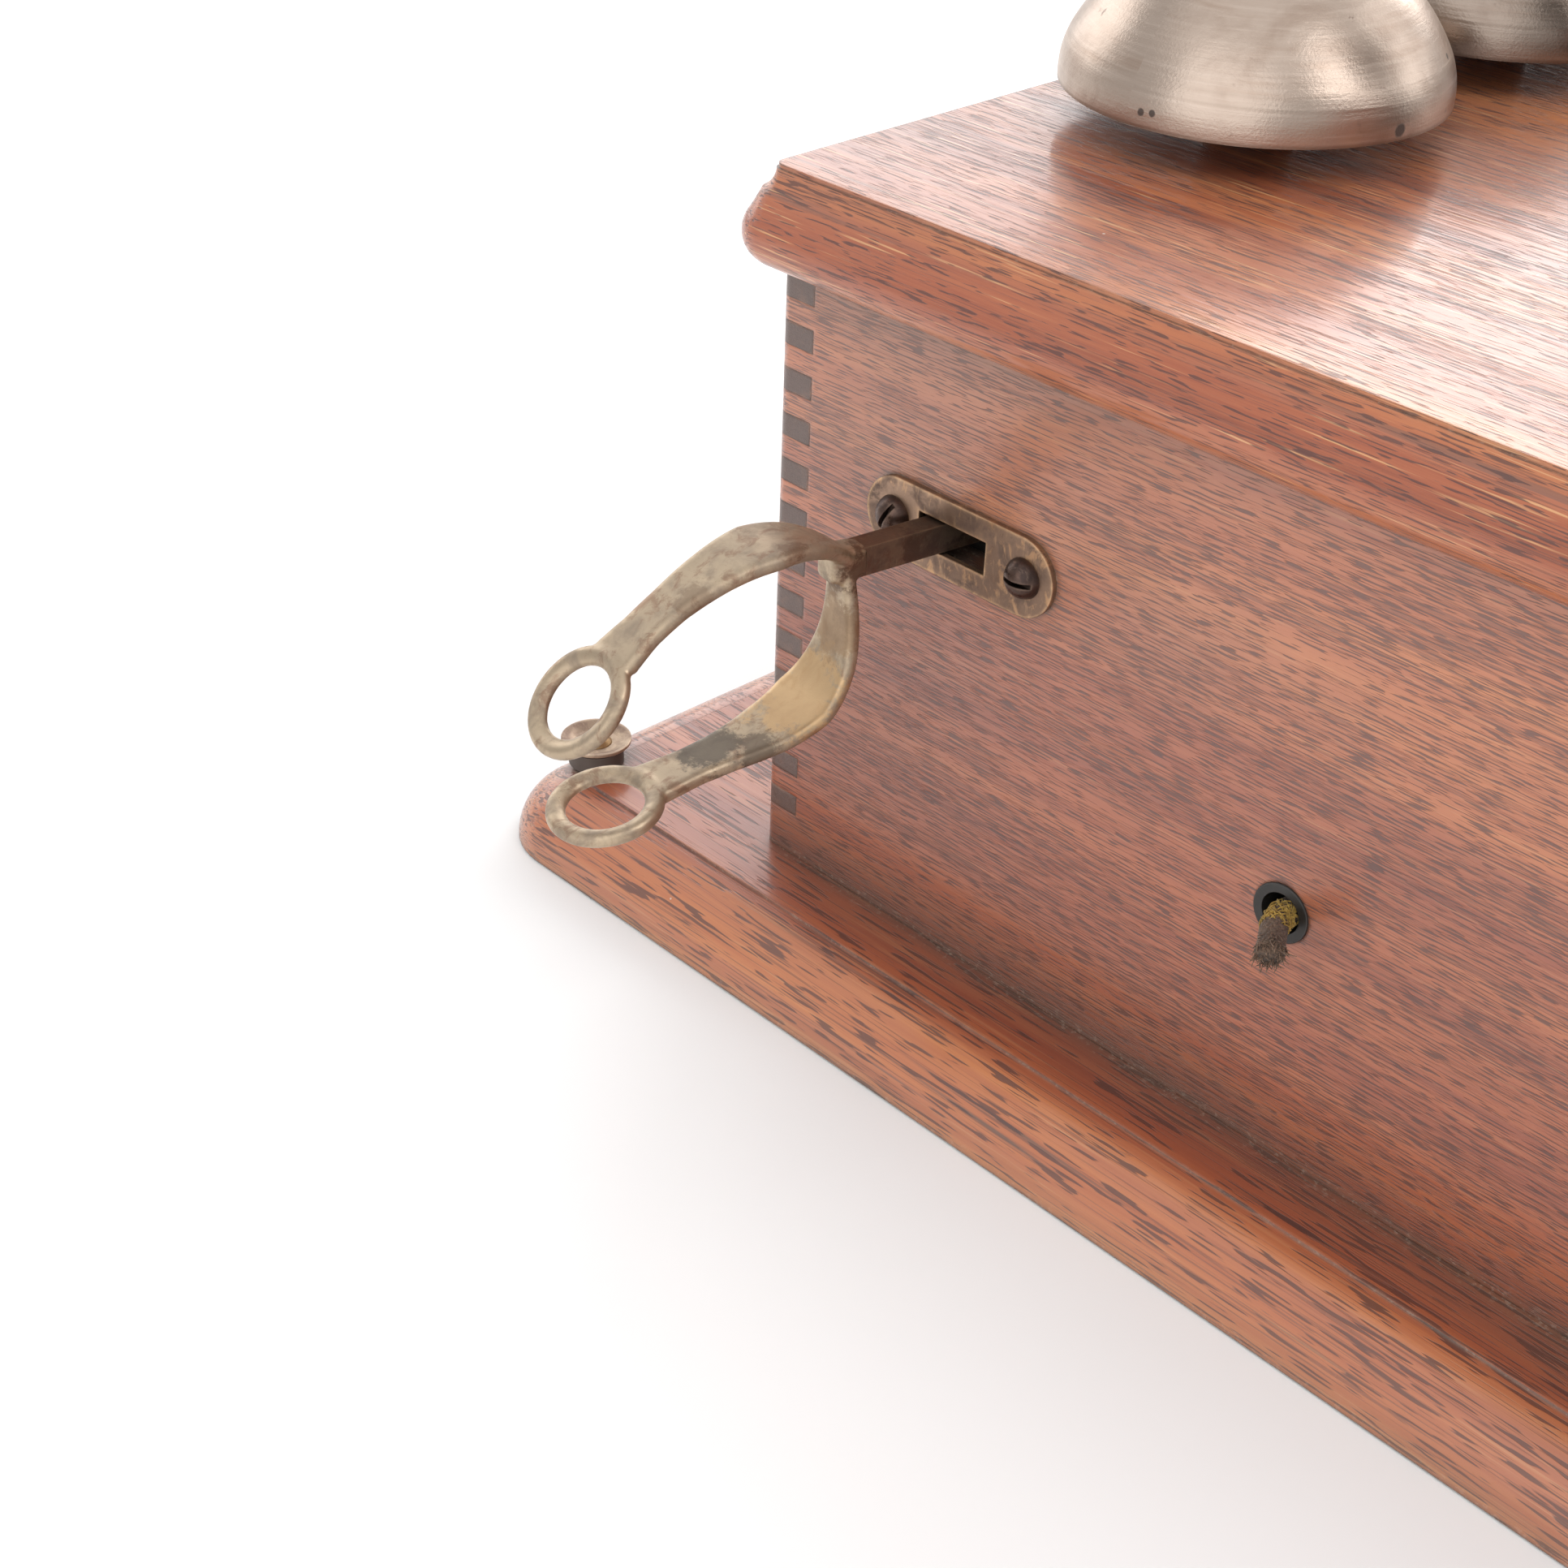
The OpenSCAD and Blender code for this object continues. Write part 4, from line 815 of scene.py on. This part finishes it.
def cord_route():
    """Points along the stub, from its knot inside the case to its cut end."""
    y = (BUSH_LO.y + BUSH_HI.y) / 2
    z = (BUSH_LO.z + BUSH_HI.z) / 2 - 0.6 * MM
    bend_x = CASE_LO.x + 1 * MM
    knot_x = STUB_HI.x - 3.5 * MM
    route = [Vector((knot_x + (bend_x - knot_x) * k / 60, y, z)) for k in range(60)]
    for k in range(17):
        angle = CORD_DROOP * k / 16
        route.append(Vector((bend_x - CORD_BEND * math.sin(angle), y, z - CORD_BEND * (1 - math.cos(angle)))))
    start = route[-1]
    way = Vector((-math.cos(CORD_DROOP), 0, -math.sin(CORD_DROOP)))
    route.extend(start + way * (CORD_END * k / 14) for k in range(1, 15))
    return route


def route_length(route):
    """The length of a row of places."""
    return sum((b - a).length for a, b in zip(route, route[1:]))


def braid_height(turn, along):
    """Relief of a braid of two sets of strands, from 0 to 1."""
    a = BRAID_STRANDS * turn + along / BRAID_STEP
    b = BRAID_STRANDS * turn - along / BRAID_STEP
    over = (math.floor(a) + math.floor(b)) % 2
    bulge_a = 1 - (2 * (a % 1) - 1) ** 2
    bulge_b = 1 - (2 * (b % 1) - 1) ** 2
    return max(bulge_a * (1 if over else 0.5), bulge_b * (0.5 if over else 1))


def way_at(places, i):
    """The direction of a row of places at one of them."""
    return (places[min(i + 1, len(places) - 1)] - places[max(i - 1, 0)]).normalized()


def ray_at(way, angle):
    """The direction away from the cord's middle at an angle round it."""
    return ACROSS * math.cos(angle) + way.cross(ACROSS) * math.sin(angle)


def cord_ring(here, way, along, flare, rng):
    """One ring of points round the cord: braided, and worn thin at the bushing's mouth."""
    worn = math.exp(-((here.x - WORN_AT) / WORN_REACH) ** 2)
    ring = []
    for k in range(CORD_CORNERS):
        turn = k / CORD_CORNERS
        relief = braid_height(turn, along) * (1 - 0.8 * worn)
        radius = CORD_RADIUS - BRAID_RELIEF + BRAID_RELIEF * relief + flare
        radius += rng.uniform(-1, 1) * BRAID_FUZZ
        radius += worn * 0.00018 * math.sin(9 * turn * 2 * math.pi + along * 4000)
        ring.append(here + ray_at(way, 2 * math.pi * turn) * radius)
    return ring


def make_cord(material):
    """The braided stub, a little wider at its cut end."""
    route = cord_route()
    length = route_length(route)
    fine = []
    for a, b in zip(route, route[1:]):
        fine.extend(a.lerp(b, k / 3) for k in range(3))
    fine.append(route[-1])
    rng = random.Random(5)
    rings = []
    along = 0.0
    for i, here in enumerate(fine):
        if i:
            along += (here - fine[i - 1]).length
        flare = 0.00025 * math.exp(-max(0.0, length - along) / 0.0012)
        rings.append(cord_ring(here, way_at(fine, i), along, flare, rng))
    points, faces = [], []
    loft(points, faces, rings)
    cord = piece_from("cord", points, faces, "case", material)
    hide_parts("receiver_cord_stub")
    return cord, route, length


def add_thread(points, faces, places, radius):
    """A thin thread through some places."""
    rings = []
    for i, here in enumerate(places):
        way = way_at(places, i)
        side = way.orthogonal().normalized()
        up = way.cross(side)
        thick = radius * (0.45 if i == len(places) - 1 else 1)
        rings.append([here + (side * math.cos(a) + up * math.sin(a)) * thick
                      for a in THREAD_CORNERS])
    loft(points, faces, rings)


def make_fray(route, material):
    """Loose threads at the cut end."""
    rng = random.Random(11)
    end = route[-1]
    way = (route[-1] - route[-2]).normalized()
    up = way.cross(ACROSS)
    points, faces = [], []
    for _ in range(FRAY_THREADS):
        ray = ray_at(way, rng.uniform(0, 2 * math.pi))
        reach = CORD_RADIUS * rng.uniform(0.25, 1.0) ** 0.5
        here = end - way * rng.uniform(0.0002, 0.0028) + ray * reach
        step = rng.uniform(0.00028, 0.00055)
        lean = way + ray * rng.uniform(-0.1, 0.55)
        lean = (lean + ACROSS * rng.uniform(-0.3, 0.3) + up * rng.uniform(-0.35, 0.2)).normalized()
        places = [here]
        for _ in range(rng.randint(4, 7)):
            stray = Vector((rng.uniform(-1, 1), rng.uniform(-1, 1), rng.uniform(-1, 0.8)))
            lean = (lean + stray * 0.25).normalized()
            places.append(places[-1] + lean * step)
        add_thread(points, faces, places, rng.uniform(0.00007, 0.00013))
    return piece_from("cord_fray", points, faces, "case", material)


def make_worn_threads(route, material):
    """Inner threads that show where the braid has worn through at the bushing."""
    rng = random.Random(23)
    points, faces = [], []
    near = [p for p in route if CASE_LO.x - 0.0052 < p.x < CASE_LO.x + 0.0015]
    for _ in range(INNER_THREADS):
        i = rng.randrange(1, len(near) - 1)
        here = near[i]
        way = way_at(near, i)
        angle = rng.uniform(0, 2 * math.pi)
        pitch = rng.choice((-1, 1)) * rng.uniform(0.5, 1.4)
        lift = rng.uniform(0.0, 0.00045)
        places = []
        for step in range(7):
            ray = ray_at(way, angle + step * 0.13 * pitch)
            hump = math.sin(math.pi * step / 6)
            places.append(here + way * ((step - 3) * 0.00030 + rng.uniform(-1, 1) * 0.00006)
                          + ray * (CORD_RADIUS - 0.0001 + lift * hump))
        add_thread(points, faces, places, rng.uniform(0.00010, 0.00017))
    return piece_from("cord_inner_threads", points, faces, "case", material)


def knot_place(centre, t):
    """The place at angle t on a closed trefoil."""
    return centre + Vector((0.9 * math.sin(3 * t), math.sin(t) + 2 * math.sin(2 * t),
                            math.cos(t) - 2 * math.cos(2 * t))) * KNOT_SIZE


def make_knot(route, material):
    """The knot that holds the cord inside the case."""
    places = [knot_place(route[0], 2 * math.pi * k / KNOT_STEPS) for k in range(KNOT_STEPS)]
    corners = [2 * math.pi * m / 20 for m in range(20)]
    rings = []
    for i, here in enumerate(places):
        way = (places[(i + 1) % KNOT_STEPS] - places[i - 1]).normalized()
        side = way.cross(Vector((1, 0, 0))).normalized()
        up = way.cross(side)
        twist = 40 * i / KNOT_STEPS * 6.283
        rings.append([here + (side * math.cos(a) + up * math.sin(a))
                      * (KNOT_STRAND + 0.00012 * math.sin(5 * a + twist)) for a in corners])
    points, faces = [], []
    loft(points, faces, rings, closed=True)
    return piece_from("cord_knot", points, faces, "case", material)


def make_cords():
    """The cut cord with its frayed end, its worn-through threads and its knot."""
    braid = cotton("cord_cotton", (0.215, 0.140, 0.092), (0.055, 0.034, 0.024))
    cord, route, length = make_cord(braid)
    extras = [make_fray(route, cotton("fray_cotton", (0.290, 0.180, 0.115), (0.120, 0.070, 0.045))),
              make_worn_threads(route, cotton("yellow_cotton", (0.620, 0.410, 0.080), (0.230, 0.125, 0.020))),
              make_knot(route, braid)]


# ---------- studio ----------

# the camera's place, its line of sight and what is up in its picture; lens in mm
CAMERA_AT = Vector((-0.4449, -0.3244, -0.1176))
CAMERA_LOOK = Vector((0.5865, 0.5406, 0.6031))
CAMERA_UP = Vector((0.3523, -0.8408, 0.4111))
CAMERA_LENS = 59.0


def make_camera():
    """The photo's camera."""
    data = bpy.data.cameras.new("camera")
    data.lens = CAMERA_LENS
    data.sensor_width = 36
    data.clip_start = 0.01
    camera = bpy.data.objects.new("camera", data)
    bpy.context.scene.collection.objects.link(camera)
    back = -CAMERA_LOOK.normalized()
    right = CAMERA_UP.cross(back).normalized()
    up = back.cross(right)
    camera.matrix_world = Matrix.Translation(CAMERA_AT) @ Matrix((right, up, back)).transposed().to_4x4()
    bpy.context.scene.camera = camera


def make_backdrop():
    """Pale paper under the telephone, open where the backboard hides it so that its back gets light."""
    y = BOARD_HI.y + 0.0004
    inset = 0.002
    middle = (BOARD_LO + BOARD_HI) / 2
    half = (BOARD_HI - BOARD_LO) / 2
    inner = rounded_section(half.x - inset, half.z - inset, 0.012, 6)
    outer = [(x * 40, z * 40) for x, z in inner]
    count = len(inner)
    mesh = bpy.data.meshes.new("backdrop")
    mesh.from_pydata([(middle.x + x, y, middle.z + z) for x, z in outer + inner], [],
                     [(k, (k + 1) % count, count + (k + 1) % count, count + k) for k in range(count)])
    mesh.materials.append(studio_white("backdrop_paper"))
    sheet = bpy.data.objects.new("backdrop", mesh)
    bpy.context.scene.collection.objects.link(sheet)


def soft_light(name, place, target, size, power):
    """A rectangular softbox turned to a target."""
    data = bpy.data.lights.new(name, "AREA")
    data.shape = "RECTANGLE"
    data.size, data.size_y = size
    data.energy = power
    light = bpy.data.objects.new(name, data)
    bpy.context.scene.collection.objects.link(light)
    light.location = place
    light.rotation_mode = "QUATERNION"
    light.rotation_quaternion = (target - place).to_track_quat("-Z", "Y")


# near the case's upper left corner, on the left gong and on the phone's front
CORNER = Vector((CASE_LO.x, DOOR_LO.y, 0.118))
GONG = Vector((-0.04, GONG_LO.y, 0.17))
FRONT = Vector((0, DOOR_LO.y, 0.1))
# name, place, target, size in metres, power in watts
LIGHTS = [
    ("side_softbox", CORNER + Vector((1.30, -0.62, 0.42)), CORNER + Vector((0, 0, 0.12)),
     (0.75, 0.98), 8.3),
    ("top_softbox", CORNER + Vector((0.906, -0.422, 1.144)), CORNER + Vector((0, 0, 0.05)),
     (0.8, 0.556), 2.75),
    ("far_softbox", GONG + Vector((0.05, -0.38, 1.36)), GONG, (1.1, 0.8), 4.6),
    ("low_softbox", GONG + Vector((0.37, -0.92, -1.10)), GONG, (1.15, 0.8), 9.6),
    ("low_side", GONG + Vector((1.10, -0.70, -0.80)), GONG, (1.2, 0.9), 5.0),
    ("overhead", Vector((-0.30, -1.8, 0.05)), FRONT, (2.3, 2.3), 7),
    ("fill", Vector((-1.5, -0.8, -0.3)), Vector((-0.1, -0.1, 0.05)), (1.8, 1.8), 10.5),
]
WORLD_LIGHT = 0.66


def make_light():
    """Softboxes round the phone, a wide one overhead, a fill at its left and even light from all sides."""
    for name, place, target, size, power in LIGHTS:
        soft_light(name, place, target, size, power)
    world = bpy.data.worlds.new("studio")
    bpy.context.scene.world = world
    world.use_nodes = True
    sky = world.node_tree.nodes["Background"]
    sky.inputs["Color"].default_value = (1, 1, 1, 1)
    sky.inputs["Strength"].default_value = WORLD_LIGHT
    bpy.context.scene.view_settings.view_transform = "Standard"
    bpy.context.scene.view_settings.look = "None"


make_camera()
make_cords()
make_backdrop()
make_light()
paint_all()
make_fork()
